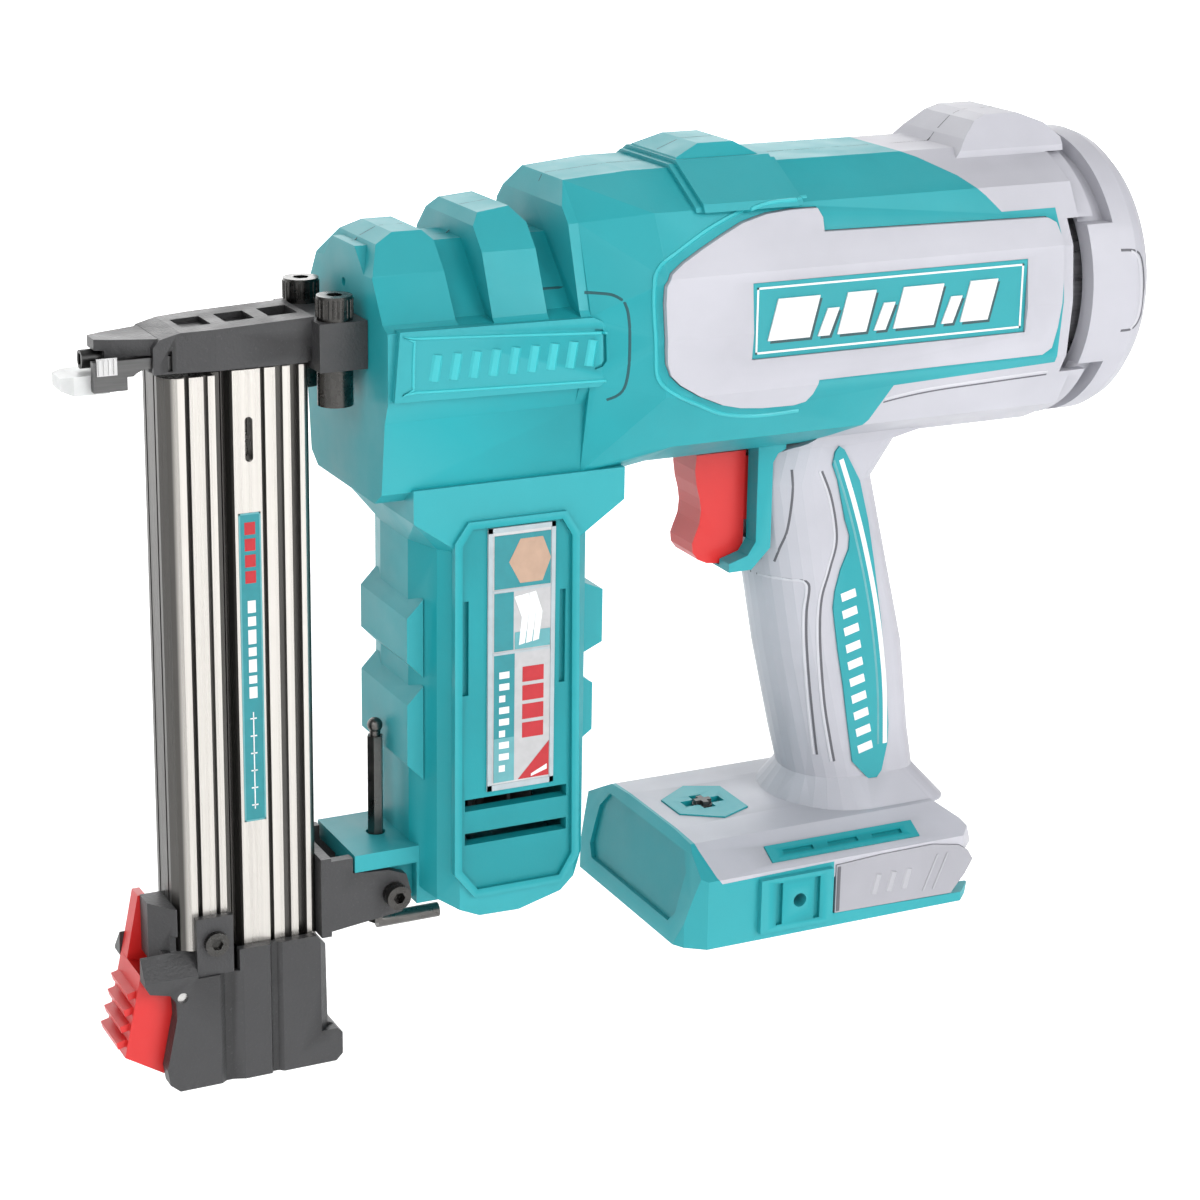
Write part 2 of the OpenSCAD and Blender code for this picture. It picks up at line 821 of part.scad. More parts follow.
module ring_gear() {
    m = planet_module;
    r = ring_teeth * m / 2;
    placed() color(dark_grey) translate([motor_x, 0, 0]) {
        difference() {
            rod_z(137, 163, 20.6, 0, 0);
            rod_z(136, 164, r + 1.15 * m, 0, 0);
        }
        translate([0, 0, gear_z]) linear_extrude(gear_w) intersection() {
            for (i = [0:ring_teeth - 1]) rotate(i * 360 / ring_teeth)
                polygon([[r + 1.15 * m + 0.3, -0.86 * m], [r, -0.62 * m], [r - 0.8 * m, -0.3 * m],
                    [r - 0.8 * m, 0.3 * m], [r, 0.62 * m], [r + 1.15 * m + 0.3, 0.86 * m]]);
            circle(r + 1.15 * m + 0.2);
        }
        // Rear plate with the motor's centring hole
        difference() {
            rod_z(137, 139, r + 1.2 * m, 0, 0);
            rod_z(136, 140, 6, 0, 0);
        }
    }
}

module planet_carrier() {
    placed() color(bare_metal) translate([motor_x, 0, 0]) {
        rod_z(156, 159.5, 15.5, 0, 0);
        rod_z(159.4, lift_gear_z + lift_gear_w + 1, 3, 0, 0);
        for (a = [0:120:240]) rotate(a) rod_z(gear_z, 156.1, 1.5, planet_orbit_r, 0);
    }
}

module output_pinion() {
    placed() color(bare_metal) translate([motor_x, 0, lift_gear_z]) linear_extrude(lift_gear_w)
        gear_outline(pinion_teeth, 1, 3);
}

// Cast frame that carries the output shaft and the lifter's fixed pin
module gear_frame() {
    placed() color(bare_metal) difference() {
        union() {
            block([-65.5, -16.6, frame_z], [tank_front_x - 1.5, 16.6, frame_z + 5]);
            rod_z(frame_z + 4.9, 202.6, 3.95, lift_x, lift_y);
        }
        rod_z(160, 180, 3.05, motor_x, 0);
    }
}

module lift_wheel() {
    placed() color(bare_metal) translate([lift_x, lift_y, 0]) difference() {
        union() {
            translate([0, 0, lift_gear_z]) linear_extrude(lift_gear_w)
                gear_outline(wheel_teeth, 1, 4, wheel_phase);
            rod_z(lift_gear_z + lift_gear_w - 0.1, 197.2, 7, 0, 0);
            rod_z(197, 201, 13, 0, 0);
        }
        rod_z(170, 210, 4, 0, 0);
        for (i = [0:pin_count - 1]) rotate(-90 - i * pin_step_deg)
            rod_z(196.9, 202, pin_r, pin_circle_r, 0);
    }
}

module lift_pins() {
    placed() color(bare_metal) translate([lift_x, lift_y, 0]) for (i = [0:pin_count - 1])
        rotate(-90 - i * pin_step_deg) rod_z(197, 208.8, pin_r, pin_circle_r, 0);
}

// ---- Driver ----

module driver_blade() {
    root_y = -3.2;
    tip_y = 1.1;
    placed() color(bare_metal) {
        block([blade_front_x, -0.8, drive_z - 1.2], [blade_wide_x + 0.5, 0.8, drive_z + 1.2]);
        along_z(drive_z - blade_half_z, drive_z + blade_half_z) {
            polygon([[blade_wide_x, -8], [piston_front_x, -8], [piston_front_x, 3],
                [lift_x + pin_pitch + 1, 3], [lift_x + pin_pitch - 1, root_y],
                [blade_wide_x, root_y]]);
            for (i = [0:pin_count - 1])
                translate([lift_x + pin_pitch * (0.5 - i), 0]) polygon([[-1.3, root_y - 0.1],
                    [-0.45, tip_y], [0.45, tip_y], [1.3, root_y - 0.1]]);
            // Bridge between the thin strip and the toothed body
            polygon([[blade_wide_x, -8], [blade_wide_x + 2, -8], [blade_wide_x + 2, 0.8],
                [blade_wide_x, 0.8]]);
        }
    }
}

module piston() {
    placed() color(bare_metal) difference() {
        rod_x(piston_front_x, piston_front_x + piston_len, sleeve_r - 0.05);
        difference() {
            rod_x(piston_front_x + 4, piston_front_x + 8, sleeve_r + 1);
            rod_x(piston_front_x + 3, piston_front_x + 9, 16);
        }
        rod_x(piston_front_x + 6, piston_front_x + piston_len + 1, 12);
    }
}

module piston_seal() {
    placed() color(dark_grey) difference() {
        rod_x(piston_front_x + 4.2, piston_front_x + 7.8, sleeve_r - 0.04);
        rod_x(piston_front_x + 4, piston_front_x + 8, 16);
    }
}

module bumper() {
    placed() color(dark_grey) difference() {
        rod_x(tank_front_x + 2, piston_front_x - 0.3, 17.5);
        rod_x(tank_front_x + 1, piston_front_x + 1, 9);
    }
}

module cylinder_sleeve() {
    placed() color(bare_metal) difference() {
        rod_x(tank_front_x + 2, sleeve_rear_x, sleeve_r + 2);
        rod_x(tank_front_x + 1, sleeve_rear_x + 1, sleeve_r);
    }
}

module gas_tank() {
    placed() color(bare_metal) difference() {
        rod_x(tank_front_x, 132, 34.5);
        rod_x(tank_front_x + 2, 133, 32);
        rod_x(tank_front_x - 1, tank_front_x + 3, 9);
    }
}

module tank_cap() {
    placed() color(bare_metal) difference() {
        union() {
            rod_x(132, 137, 34.5);
            rod_x(126, 132.1, 31.95);
            rod_x(136.9, 144, 5);
        }
        rod_x(140, 145, 2);
    }
}

// ---- Nose ----

module nose_block() {
    placed() color(dark_grey) difference() {
        union() {
            // Head over the magazine
            intersection() {
                along_y(-12, 12) polygon([[-140.5, 202.4], [-140.5, 209.5], [-138.5, 211.6],
                    [-133, 213], [-97, 214.5], [-97, 202.4]]);
                along_z(200, 220) polygon([[-141, -10.4], [-134, -10.6], [-124, -12], [-97, -12],
                    [-97, 12], [-124, 12], [-134, 10.6], [-141, 10.4]]);
            }
            // Tapered beak
            along_z(204, 211.5) polygon([[-154, -3], [-150, -5], [-138, -9], [-138, 9],
                [-150, 5], [-154, 3]]);
            // Flange in front of the housing
            block([-97.6, -17.5, 200.5], [-84.2, 17.5, 213.5]);
        }
        // Drive channel
        block([-160, -4.2, 203.4], [-97, 4.2, 208.6]);
        block([-99, -8.8, 203.4], [-80, 4.6, 208.6]);
        for (x = [-131, -119, -107]) block([x, -5, 212], [x + 8, 5, 220]);
        for (y = [-nose_screw_y, nose_screw_y]) rod_z(195, 220, 2.1, nose_screw_x, y);
        // Seat of the contact arm on the near side
        block([-160, -9.4, 201], [-98.2, -6.2, 207.2]);
        // Slits in the side of the head and beside the flange
        block([-136.6, -11, 203], [-135.4, -9, 208.4]);
        both_sides() block([-98.9, -12.5, 200], [-97.7, -11, 206.5]);
    }
}

// Hardened strips that guide the blade and the nails
module nose_guide() {
    placed() color(bare_metal) difference() {
        union() {
            block([-152, -4, 203.6], [-98.5, 4, 208.4]);
            rod_x(-157, -151.9, 2.5);
        }
        block([-158, -1.1, 204.5], [-98, 1.1, 207.5]);
        block([-134.5, -0.8, 203], [-101.5, 0.8, 205]);
    }
}

module nose_screws() {
    placed() color(dark_grey) for (y = [-nose_screw_y, nose_screw_y]) difference() {
        union() {
            rod_z(213.5, 220, 4.8, nose_screw_x, y);
            rod_z(200, 213.6, 2, nose_screw_x, y);
            rod_z(190.5, 200.4, 4.8, nose_screw_x, y);
        }
        translate([nose_screw_x, y, 216.5]) cylinder(h = 5, r = 2.3, $fn = 6);
    }
}

// Sliding steel arm that stops the tool from firing in the open
module contact_trip() {
    placed() color(dark_grey) {
        difference() {
            block([-156, -9, 202.3], [-104, -6.6, 206.8]);
            rod_y(-10, -6, 5.5, -141.5, 198.4);
        }
        // Lobe under the arm and the tongue that carries the tip
        block([-156, -9, 198.8], [-147, -6.6, 202.4]);
        block([-156, -6.7, 199.4], [-152, 3.5, 201.6]);
    }
}

module no_mar_tip() {
    placed() color([0.93, 0.93, 0.92]) difference() {
        hull() {
            block([tip_front_x, -4.5, 199], [tip_front_x + 0.4, 3.5, 202.4]);
            block([-160.5, -6.4, 197.8], [-151, 5.2, 202.9]);
        }
        block([-156, -7, 199.4], [-150, 3.5, 201.6]);
    }
}

module trip_spring() {
    placed() color(bare_metal) difference() {
        rod_x(-103.6, -98.4, 1.4, -7.8, 205);
        rod_x(-104, -98, 0.9, -7.8, 205);
    }
}

// ---- Magazine ----

module magazine_rail() {
    w = mag_half;
    f = rail_front_x;
    placed() color(bare_metal) difference() {
        along_z(rail_low_z, mag_top_z + 0.8) difference() {
            union() {
                polygon([[f + 0.6, -w + 3], [f + 1.9, -w], [rail_rear_x, -w], [rail_rear_x, w],
                    [f + 1.9, w], [f + 0.6, w - 3]]);
                translate([f, -w + 4]) square([2, 2 * w - 8]);
                // Tongue that guides the loading cover
                translate([f - 4.5, -4]) square([4.6, 8]);
                translate([f - 4.5, -6]) square([2, 12]);
            }
            // Pusher chamber and nail slot
            translate([-119, -6.5]) square([15.5, 13]);
            translate([f - 5, -0.8]) square([20, 1.6]);
            side_grooves([[-111.9, 1.2, 1.6], [-107.7, 2, 1], [-103.6, 2.5, 2.2]]);
            // Rounded rear corners
            for (s = [-1, 1]) translate([rail_rear_x, s * w]) rotate(45) square(2.4, center = true);
        }
        // Slot that shows how many nails are left
        rod_y(-far, 0, 1.1, -115.3, 178);
        rod_y(-far, 0, 1.1, -115.3, 188);
        block([-116.4, -far, 178], [-114.2, 0, 188]);
    }
}

// Grooves along both sides of an extrusion: start, width and depth of each
module side_grooves(list) {
    for (s = [-1, 1], g = list) translate([g[0], s > 0 ? mag_half - g[2] : -mag_half - 1])
        square([g[1], g[2] + 1]);
}

module magazine_cover() {
    w = mag_half;
    f = cover_front_x;
    r = cover_rear_x;
    placed() color(bare_metal) along_z(cover_low_z, mag_top_z) difference() {
        polygon([[r, 3.5 - w], [r - 2.3, 3.5 - w], [r - 2.3, -w], [f + 4, -w], [f + 1.2, -w + 1.6],
            [f, -w + 5], [f, w - 5], [f + 1.2, w - 1.6], [f + 4, w], [r - 2.3, w],
            [r - 2.3, w - 3.5], [r, w - 3.5]]);
        // Groove round the rail's tongue
        translate([r - 4.5, -6.5]) square([3, 13]);
        translate([r - 2, -4.5]) square([3, 9]);
        // Slot for the nail points
        translate([-135, -0.8]) square([12, 1.6]);
        side_grooves([[-132.6, 1.3, 2], [-127.4, 1.2, 1.2]]);
        // Grooves down the front face
        for (y = [-4.2, 3.2]) translate([f - 1, y]) square([1.9, 1]);
    }
}

module magazine_foot() {
    w = mag_half;
    placed() color(dark_grey) difference() {
        union() {
            // Body with its flared toe
            along_y(-14, 14) polygon([[-140, 0], [foot_rear_x - 2, 0], [foot_rear_x, 2],
                [foot_rear_x, 8.5], [foot_rear_x - 1.5, 10], [foot_rear_x - 3.4, 11],
                [foot_rear_x - 4, 35.5], [-99.5, 39.4], [-122, 39.4], [-122, 33], [-140, 33]]);
            // Blocks in front of the cover, beside the tongue of the latch
            along_z(36.5, 53) polygon([[-136, -10.8], [-139, -10.8], [-144.7, -3.4], [-144.7, 3.2],
                [-136, 3.2]]);
            block([-142.4, -10.8, 32.9], [-136, 3.2, 40]);
            block([-141, 3, 32.9], [-136, 10.8, 49]);
            // Cheeks that hold the latch pin
            both_sides() along_y(-14, -9.4) polygon([[-134, 40.5], [-149, 40.5], [-149.2, 33.2],
                [-147.9, 30.8], [-142.2, 29.4], [-140.6, 27], [-140.4, 22], [-143.5, 7],
                [-142.8, 2.4], [-140, 0], [-134, 0]]);
            // Ears for the two screws
            block([-134, -13.4, 33], [-123.5, 13.4, 50]);
        }
        // Sloping shoulders of the cheeks
        both_sides() along_x(-160, -134) polygon([[-15, 32.7], [-9, 40.5], [-9, 45], [-15, 45]]);
        // Flutes down the sides
        both_sides() along_z(-1, 33) polygon([[-128, -14.1], [-126.2, -12.8], [-124.2, -12.8],
            [-120.6, -14.1]]);
        both_sides() along_z(-1, 45) polygon([[-113.2, -14.1], [-112.4, -12.9], [-110.8, -12.9],
            [-109.4, -14.1]]);
        // Chamfered rear corners above the toe
        both_sides() along_z(10, 45) polygon([[-98.4, -14.1], [-90, -14.1], [-90, -10.6],
            [-95, -10.6]]);
        // Sockets for the cover and, behind it, the fixed rail
        along_z(cover_low_z, 60) polygon([[cover_front_x - 0.1, -w - 0.1],
            [cover_rear_x + 0.1, -w - 0.1], [cover_rear_x + 0.1, w + 0.1],
            [cover_front_x - 0.1, w + 0.1]]);
        block([-127, -w - 0.5, 14], [-97.4, w + 0.5, 60]);
        // Recess of the latch
        along_y(-9.4, 9.4) polygon([[-150, 2], [-132.5, 2], [-132.5, 30], [-136, 32.8],
            [-150, 32.8]]);
        rod_y(-20, 20, 1.52, latch_pivot[0], latch_pivot[1]);
        both_sides() rod_y(-20, -10, 2.05, -128.6, 42.5);
    }
}

module foot_screws() {
    placed() color(dark_grey) both_sides() difference() {
        union() {
            rod_y(-15, -13.4, 3.4, -128.6, 42.5);
            rod_y(-13.5, -mag_half - 0.2, 2, -128.6, 42.5);
        }
        translate([-128.6, -14, 42.5]) rotate([90, 0, 0]) cylinder(h = 2, r = 1.7, $fn = 6);
    }
}

module magazine_latch() {
    placed() color(signal_red) difference() {
        union() {
            along_y(-9, 9) polygon([[-137.5, 4.5], [-143.2, 4], [-154, 10.8], [-148.9, 34.4],
                [-143.2, 32], [-139.5, 31.3], [-136, 28], [-136, 25]]);
            // Tongue behind the block of the foot
            along_y(3.7, 9) polygon([[-148.9, 34], [-145.2, 52.5], [-143, 52.5], [-143.2, 31.8]]);
            // Finger ribs
            for (i = [0:3]) translate([-150.4 - i * 1.15, 0, 28.5 - i * 4.7])
                rotate([0, -14, 0]) block([-1.9, -7.5, -1], [1.5, 7.5, 1]);
        }
        rod_y(-20, 20, 1.55, latch_pivot[0], latch_pivot[1]);
    }
}

module latch_pin() {
    placed() color(bare_metal) rod_y(-13.2, 13.2, 1.5, latch_pivot[0], latch_pivot[1]);
}

module nail_pusher() {
    placed() color(bare_metal) {
        difference() {
            block([-118.6, -6.1, 165], [-103.9, 6.1, 190]);
            rod_y(-4.5, 4.5, 5, -111, 172);
        }
        block([-134, -0.5, 176], [-118.5, 0.5, 190]);
    }
}

module pusher_spring() {
    placed() color(bare_metal) difference() {
        rod_y(-4.2, 4.2, 4.7, -111, 172);
        rod_y(-5, 5, 2.4, -111, 172);
    }
}

// ---- Bracket, key and screws ----

module support_bracket() {
    w = mag_half;
    placed() color(dark_grey) difference() {
        union() {
            // Saddle on the rail
            block([rail_rear_x + 0.05, -w, 38.5], [rail_rear_x + 3, w, 62]);
            // Two cheeks that reach the ledge
            both_sides() along_y(-14.4, -11.5) polygon([[rail_rear_x, 61], [rail_rear_x, 39.6],
                [-79, 41.8], [-74, 42.4], [-71, 47.6], [-72.6, 53.5], [-78, 55.6], [-84, 56],
                [-88.6, 56.5], [-88.6, 61]]);
            both_sides() block([rail_rear_x + 0.05, -14.4, 38.5], [rail_rear_x + 3, -w + 1, 62]);
        }
        rod_y(-20, 20, 2.1, bracket_bolt[0], bracket_bolt[1]);
    }
}

module bracket_screws() {
    placed() color(dark_grey) both_sides() difference() {
        union() {
            rod_y(-18.4, -14.4, 3.5, bracket_bolt[0], bracket_bolt[1]);
            rod_y(-14.5, -5, 2, bracket_bolt[0], bracket_bolt[1]);
        }
        translate([bracket_bolt[0], -16, bracket_bolt[1]]) rotate([90, 0, 0])
            cylinder(h = 3, r = 1.75, $fn = 6);
    }
}

// Ball-ended key parked in the ledge
module hex_key() {
    r = 2.3;
    placed() color(dark_grey) {
        translate([-76, 0, 34]) cylinder(h = 56.5, r = r, $fn = 6);
        translate([-76, 0, 90.4]) cylinder(h = 1.8, r = r * 0.68);
        translate([-76, 0, 93.6]) sphere(r * 0.95);
        rod_x(-76, -57, r * 0.92, 0, 34);
    }
}

module housing_screws() {
    placed() color(dark_grey) for (p = concat(front_screws, rear_screws)) difference() {
        union() {
            rod_y(p[2] - 3.3, p[2] - 0.6, 3, p[0], p[1]);
            rod_y(-p[2] + 6, p[2] - 3.2, 1.5, p[0], p[1]);
        }
        rod_y(p[2] - 2, p[2], 1.4, p[0], p[1]);
    }
}

front_housing_left();
front_housing_right();
rear_housing_left();
rear_housing_right();
side_cover_left();
side_cover_right();
badge_plates();
end_cap();
grip_inserts();
column_label();
battery_shoe();
shoe_panels();
vent_strips();
button_bezel();
mode_button();
button_spring();
trigger();
trigger_spring();
trigger_switch();
control_board();
terminal_block();
motor_can();
motor_rotor();
cooling_fan();
motor_bearings();
ring_gear();
sun_gear();
planet_gear_a();
planet_gear_b();
planet_gear_c();
planet_carrier();
output_pinion();
gear_frame();
lift_wheel();
lift_pins();
driver_blade();
piston();
piston_seal();
bumper();
cylinder_sleeve();
gas_tank();
tank_cap();
nose_block();
nose_guide();
nose_screws();
contact_trip();
no_mar_tip();
trip_spring();
magazine_rail();
magazine_cover();
magazine_foot();
foot_screws();
magazine_latch();
latch_pin();
nail_pusher();
pusher_spring();
support_bracket();
bracket_screws();
hex_key();
housing_screws();
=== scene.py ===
import json
import math
import bmesh
import bpy
from mathutils import Matrix, Vector
from mathutils.bvhtree import BVHTree


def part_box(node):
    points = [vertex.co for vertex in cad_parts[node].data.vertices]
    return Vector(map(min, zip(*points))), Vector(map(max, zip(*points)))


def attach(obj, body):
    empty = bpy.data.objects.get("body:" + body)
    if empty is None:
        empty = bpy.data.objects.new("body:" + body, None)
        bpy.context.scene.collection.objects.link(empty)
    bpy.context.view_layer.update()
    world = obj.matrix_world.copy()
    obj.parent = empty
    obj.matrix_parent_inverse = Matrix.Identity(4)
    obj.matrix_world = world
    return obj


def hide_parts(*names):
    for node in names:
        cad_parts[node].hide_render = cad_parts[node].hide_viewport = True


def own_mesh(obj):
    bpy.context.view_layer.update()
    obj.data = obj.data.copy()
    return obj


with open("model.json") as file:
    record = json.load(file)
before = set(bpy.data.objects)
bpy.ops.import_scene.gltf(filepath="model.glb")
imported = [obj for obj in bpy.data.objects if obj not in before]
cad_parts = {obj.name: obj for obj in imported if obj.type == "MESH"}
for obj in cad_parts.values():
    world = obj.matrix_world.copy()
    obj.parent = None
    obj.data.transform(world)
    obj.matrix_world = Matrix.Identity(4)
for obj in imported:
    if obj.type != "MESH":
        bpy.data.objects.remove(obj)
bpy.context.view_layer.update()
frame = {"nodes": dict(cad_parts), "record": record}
NODES = frame["nodes"]
MM = 0.001
# Places on the tool are in mm from the part's own x = 0. The tip starts 163.5 mm in front of
# it, and SHIFT is where it lies in the frame, in metres.
TIP_LENGTH = 163.5 * MM
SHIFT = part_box("no_mar_tip")[0][0] + TIP_LENGTH
# Angles between two faces, in degrees: they are merged below the first, their edge is rounded
# above the second and shaded sharp above the third.
FLAT_BELOW = 0.6
ROUND_ABOVE = 22
SHARP_ABOVE = 28

# ---------------------------------------------------------------- materials


class Graph:
    """A node material under construction."""

    def __init__(self, name):
        self.material = bpy.data.materials.new(name)
        self.material.use_nodes = True
        self.tree = self.material.node_tree
        self.tree.nodes.clear()
        self.output = self.add("ShaderNodeOutputMaterial")
        self.shader = self.add("ShaderNodeBsdfPrincipled")
        self.link(self.shader.outputs[0], self.output.inputs["Surface"])
        self.coords = self.add("ShaderNodeTexCoord").outputs["Object"]

    def add(self, kind, **settings):
        node = self.tree.nodes.new(kind)
        for key, value in settings.items():
            setattr(node, key, value)
        return node

    def link(self, a, b):
        self.tree.links.new(a, b)

    def set(self, **values):
        for key, value in values.items():
            self.shader.inputs[key.replace("_", " ")].default_value = value

    def scaled(self, scale):
        node = self.add("ShaderNodeMapping")
        node.inputs["Scale"].default_value = scale
        self.link(self.coords, node.inputs["Vector"])
        return node.outputs[0]

    def noise(self, scale, detail=3.0, roughness=0.55, stretch=None):
        node = self.add("ShaderNodeTexNoise")
        node.inputs["Scale"].default_value = scale
        node.inputs["Detail"].default_value = detail
        node.inputs["Roughness"].default_value = roughness
        self.link(self.scaled(stretch) if stretch else self.coords, node.inputs["Vector"])
        return node.outputs[0]

    def ramp(self, value, low, high, out_low=0.0, out_high=1.0):
        node = self.add("ShaderNodeMapRange")
        node.clamp = True
        for key, number in (("From Min", low), ("From Max", high),
                            ("To Min", out_low), ("To Max", out_high)):
            node.inputs[key].default_value = number
        self.link(value, node.inputs["Value"])
        return node.outputs[0]

    def mix(self, factor, a, b):
        node = self.add("ShaderNodeMix", data_type="RGBA")
        self.link(factor, node.inputs[0])
        for socket, colour in ((node.inputs[6], a), (node.inputs[7], b)):
            if isinstance(colour, bpy.types.NodeSocket):
                self.link(colour, socket)
            else:
                socket.default_value = (*colour, 1.0)
        return node.outputs[2]

    def math(self, operation, a, b):
        node = self.add("ShaderNodeMath", operation=operation)
        for socket, value in ((node.inputs[0], a), (node.inputs[1], b)):
            if isinstance(value, bpy.types.NodeSocket):
                self.link(value, socket)
            else:
                socket.default_value = value
        return node.outputs[0]

    def bump(self, height, strength, distance):
        node = self.add("ShaderNodeBump")
        node.inputs["Strength"].default_value = strength
        node.inputs["Distance"].default_value = distance
        self.link(height, node.inputs["Height"])
        self.link(node.outputs[0], self.shader.inputs["Normal"])

    def edges(self):
        """1 along outer edges, 0 on flat faces."""
        node = self.add("ShaderNodeNewGeometry")
        return self.ramp(node.outputs["Pointiness"], 0.505, 0.56)

    def crease_shade_mask(self, low=0.42, high=0.495):
        """1 in inner corners, 0 on flat faces: the mask for painted shade in inner corners."""
        node = self.add("ShaderNodeNewGeometry")
        return self.ramp(node.outputs["Pointiness"], low, high, 1.0, 0.0)


def scaled(colour, k):
    """A colour k times as bright."""
    return tuple(min(1.0, c * k) for c in colour)


def moulded(name, colour, rough=0.42, grain=0.10, wear=0.35, specular=0.5):
    """Moulded nylon: fine grain, cloudy colour, paler worn edges and painted shade in the inner
    corners.
    """
    g = Graph(name)
    cloud = g.ramp(g.noise(22.0, 4.0), 0.35, 0.65)
    base = g.mix(cloud, scaled(colour, 0.92), scaled(colour, 1.05))
    pale = tuple(0.6 * c + 0.4 * min(1.0, 1.25 * c + 0.12) for c in colour)
    base = g.mix(g.math("MULTIPLY", g.edges(), wear), base, pale)
    # painted shade: inner corners darkened towards 0.45 of the colour
    base = g.mix(g.math("MULTIPLY", g.crease_shade_mask(), 0.35), base, scaled(colour, 0.45))
    scuffs = g.ramp(g.noise(140.0, 5.0, 0.7), 0.66, 0.78)
    base = g.mix(g.math("MULTIPLY", scuffs, 0.10), base, pale)
    g.link(base, g.shader.inputs["Base Color"])
    g.link(g.ramp(g.noise(60.0, 3.0), 0.3, 0.7, rough - 0.05, rough + 0.08),
           g.shader.inputs["Roughness"])
    g.bump(g.noise(1500.0, 2.0), grain, 0.00015)
    g.set(Specular_IOR_Level=specular)
    return g.material


def sandy(name, colour, rough):
    """Black coated casting with a sandy skin and rubbed edges."""
    g = Graph(name)
    grains = 1100.0
    base = g.mix(g.ramp(g.noise(35.0, 4.0), 0.3, 0.7), scaled(colour, 0.75), scaled(colour, 1.25))
    base = g.mix(g.math("MULTIPLY", g.edges(), 0.5), base, scaled(colour, 3.0))
    specks = g.ramp(g.noise(grains * 1.3, 2.0), 0.62, 0.72, 0.0, 0.35)
    base = g.mix(specks, base, scaled(colour, 3.4))
    g.link(base, g.shader.inputs["Base Color"])
    g.link(g.ramp(g.noise(80.0, 3.0), 0.3, 0.7, rough - 0.06, rough + 0.12),
           g.shader.inputs["Roughness"])
    g.bump(g.noise(grains, 2.0, 0.6), 0.35, 0.0004)
    g.set(Metallic=0.15)
    return g.material


def brushed(name, colour, rough, stretch=(900.0, 900.0, 14.0), strength=0.12):
    """Metal with drawing or grinding lines along one axis, and painted shade in the inner corners.
    """
    g = Graph(name)
    lines = g.noise(1.0, 3.0, 0.6, stretch)
    base = g.mix(g.ramp(lines, 0.35, 0.65), scaled(colour, 0.86), scaled(colour, 1.08))
    # painted shade: inner corners darkened towards 0.35 of the colour
    base = g.mix(g.math("MULTIPLY", g.crease_shade_mask(0.40, 0.49), 0.5), base, scaled(colour, 0.35))
    g.link(base, g.shader.inputs["Base Color"])
    g.link(g.ramp(lines, 0.3, 0.7, rough - 0.06, rough + 0.10), g.shader.inputs["Roughness"])
    g.bump(lines, strength, 0.0001)
    g.set(Metallic=1.0)
    return g.material


def extruded(name, colour):
    """Drawn profile: fine lines along z, with painted shade in the grooves and on faces turned
    forward.
    """
    g = Graph(name)
    rough = 0.28
    groove_floor, rib_face = 0.0100, 0.01085
    lines = g.noise(1.0, 3.0, 0.6, (700.0, 700.0, 5.0))
    base = g.mix(g.ramp(lines, 0.35, 0.65), scaled(colour, 0.90), scaled(colour, 1.06))
    place = g.add("ShaderNodeSeparateXYZ")
    g.link(g.coords, place.inputs[0])
    depth = g.math("ABSOLUTE", place.outputs[1], 0.0)
    # painted shade in the grooves: darker where the surface lies below the rib faces
    groove = g.ramp(depth, groove_floor, rib_face, 0.93, 0.0)
    # painted shade on faces turned forward (normal along -x), away from the key lamp
    turned = g.add("ShaderNodeSeparateXYZ")
    g.link(g.add("ShaderNodeNewGeometry").outputs["True Normal"], turned.inputs[0])
    forward = g.ramp(turned.outputs[0], -0.75, -0.35, 0.80, 0.0)
    base = g.mix(g.math("MAXIMUM", groove, forward), base, scaled(colour, 0.07))
    g.link(base, g.shader.inputs["Base Color"])
    g.link(g.ramp(lines, 0.3, 0.7, rough - 0.05, rough + 0.08), g.shader.inputs["Roughness"])
    g.bump(lines, 0.05, 0.0001)
    g.set(Metallic=0.85)
    return g.material


def printed(name, colour, rough=0.35):
    """Printed film with a faint weave in the ink."""
    g = Graph(name)
    weave = g.ramp(g.noise(300.0, 2.0), 0.35, 0.65)
    base = g.mix(weave, scaled(colour, 0.95), scaled(colour, 1.04))
    g.link(base, g.shader.inputs["Base Color"])
    g.link(g.ramp(g.noise(90.0, 2.0), 0.3, 0.7, rough - 0.04, rough + 0.06),
           g.shader.inputs["Roughness"])
    g.bump(g.noise(700.0, 1.0), 0.04, 0.00005)
    return g.material


def milky(name, colour):
    """Soft milky polymer with light passing a little way in."""
    g = Graph(name)
    cloud = g.ramp(g.noise(180.0, 3.0), 0.35, 0.65)
    base = g.mix(cloud, scaled(colour, 0.93), scaled(colour, 1.05))
    g.link(base, g.shader.inputs["Base Color"])
    g.link(g.ramp(g.noise(400.0, 2.0), 0.3, 0.7, 0.30, 0.42), g.shader.inputs["Roughness"])
    g.bump(g.noise(900.0, 2.0), 0.10, 0.0001)
    g.set(Subsurface_Weight=0.3, Subsurface_Scale=0.002)
    g.shader.inputs["Subsurface Radius"].default_value = (1.0, 1.0, 1.0)
    return g.material


TEAL = (0.006, 0.285, 0.322)
GREY = (0.425, 0.425, 0.468)
RED = (0.56, 0.007, 0.006)

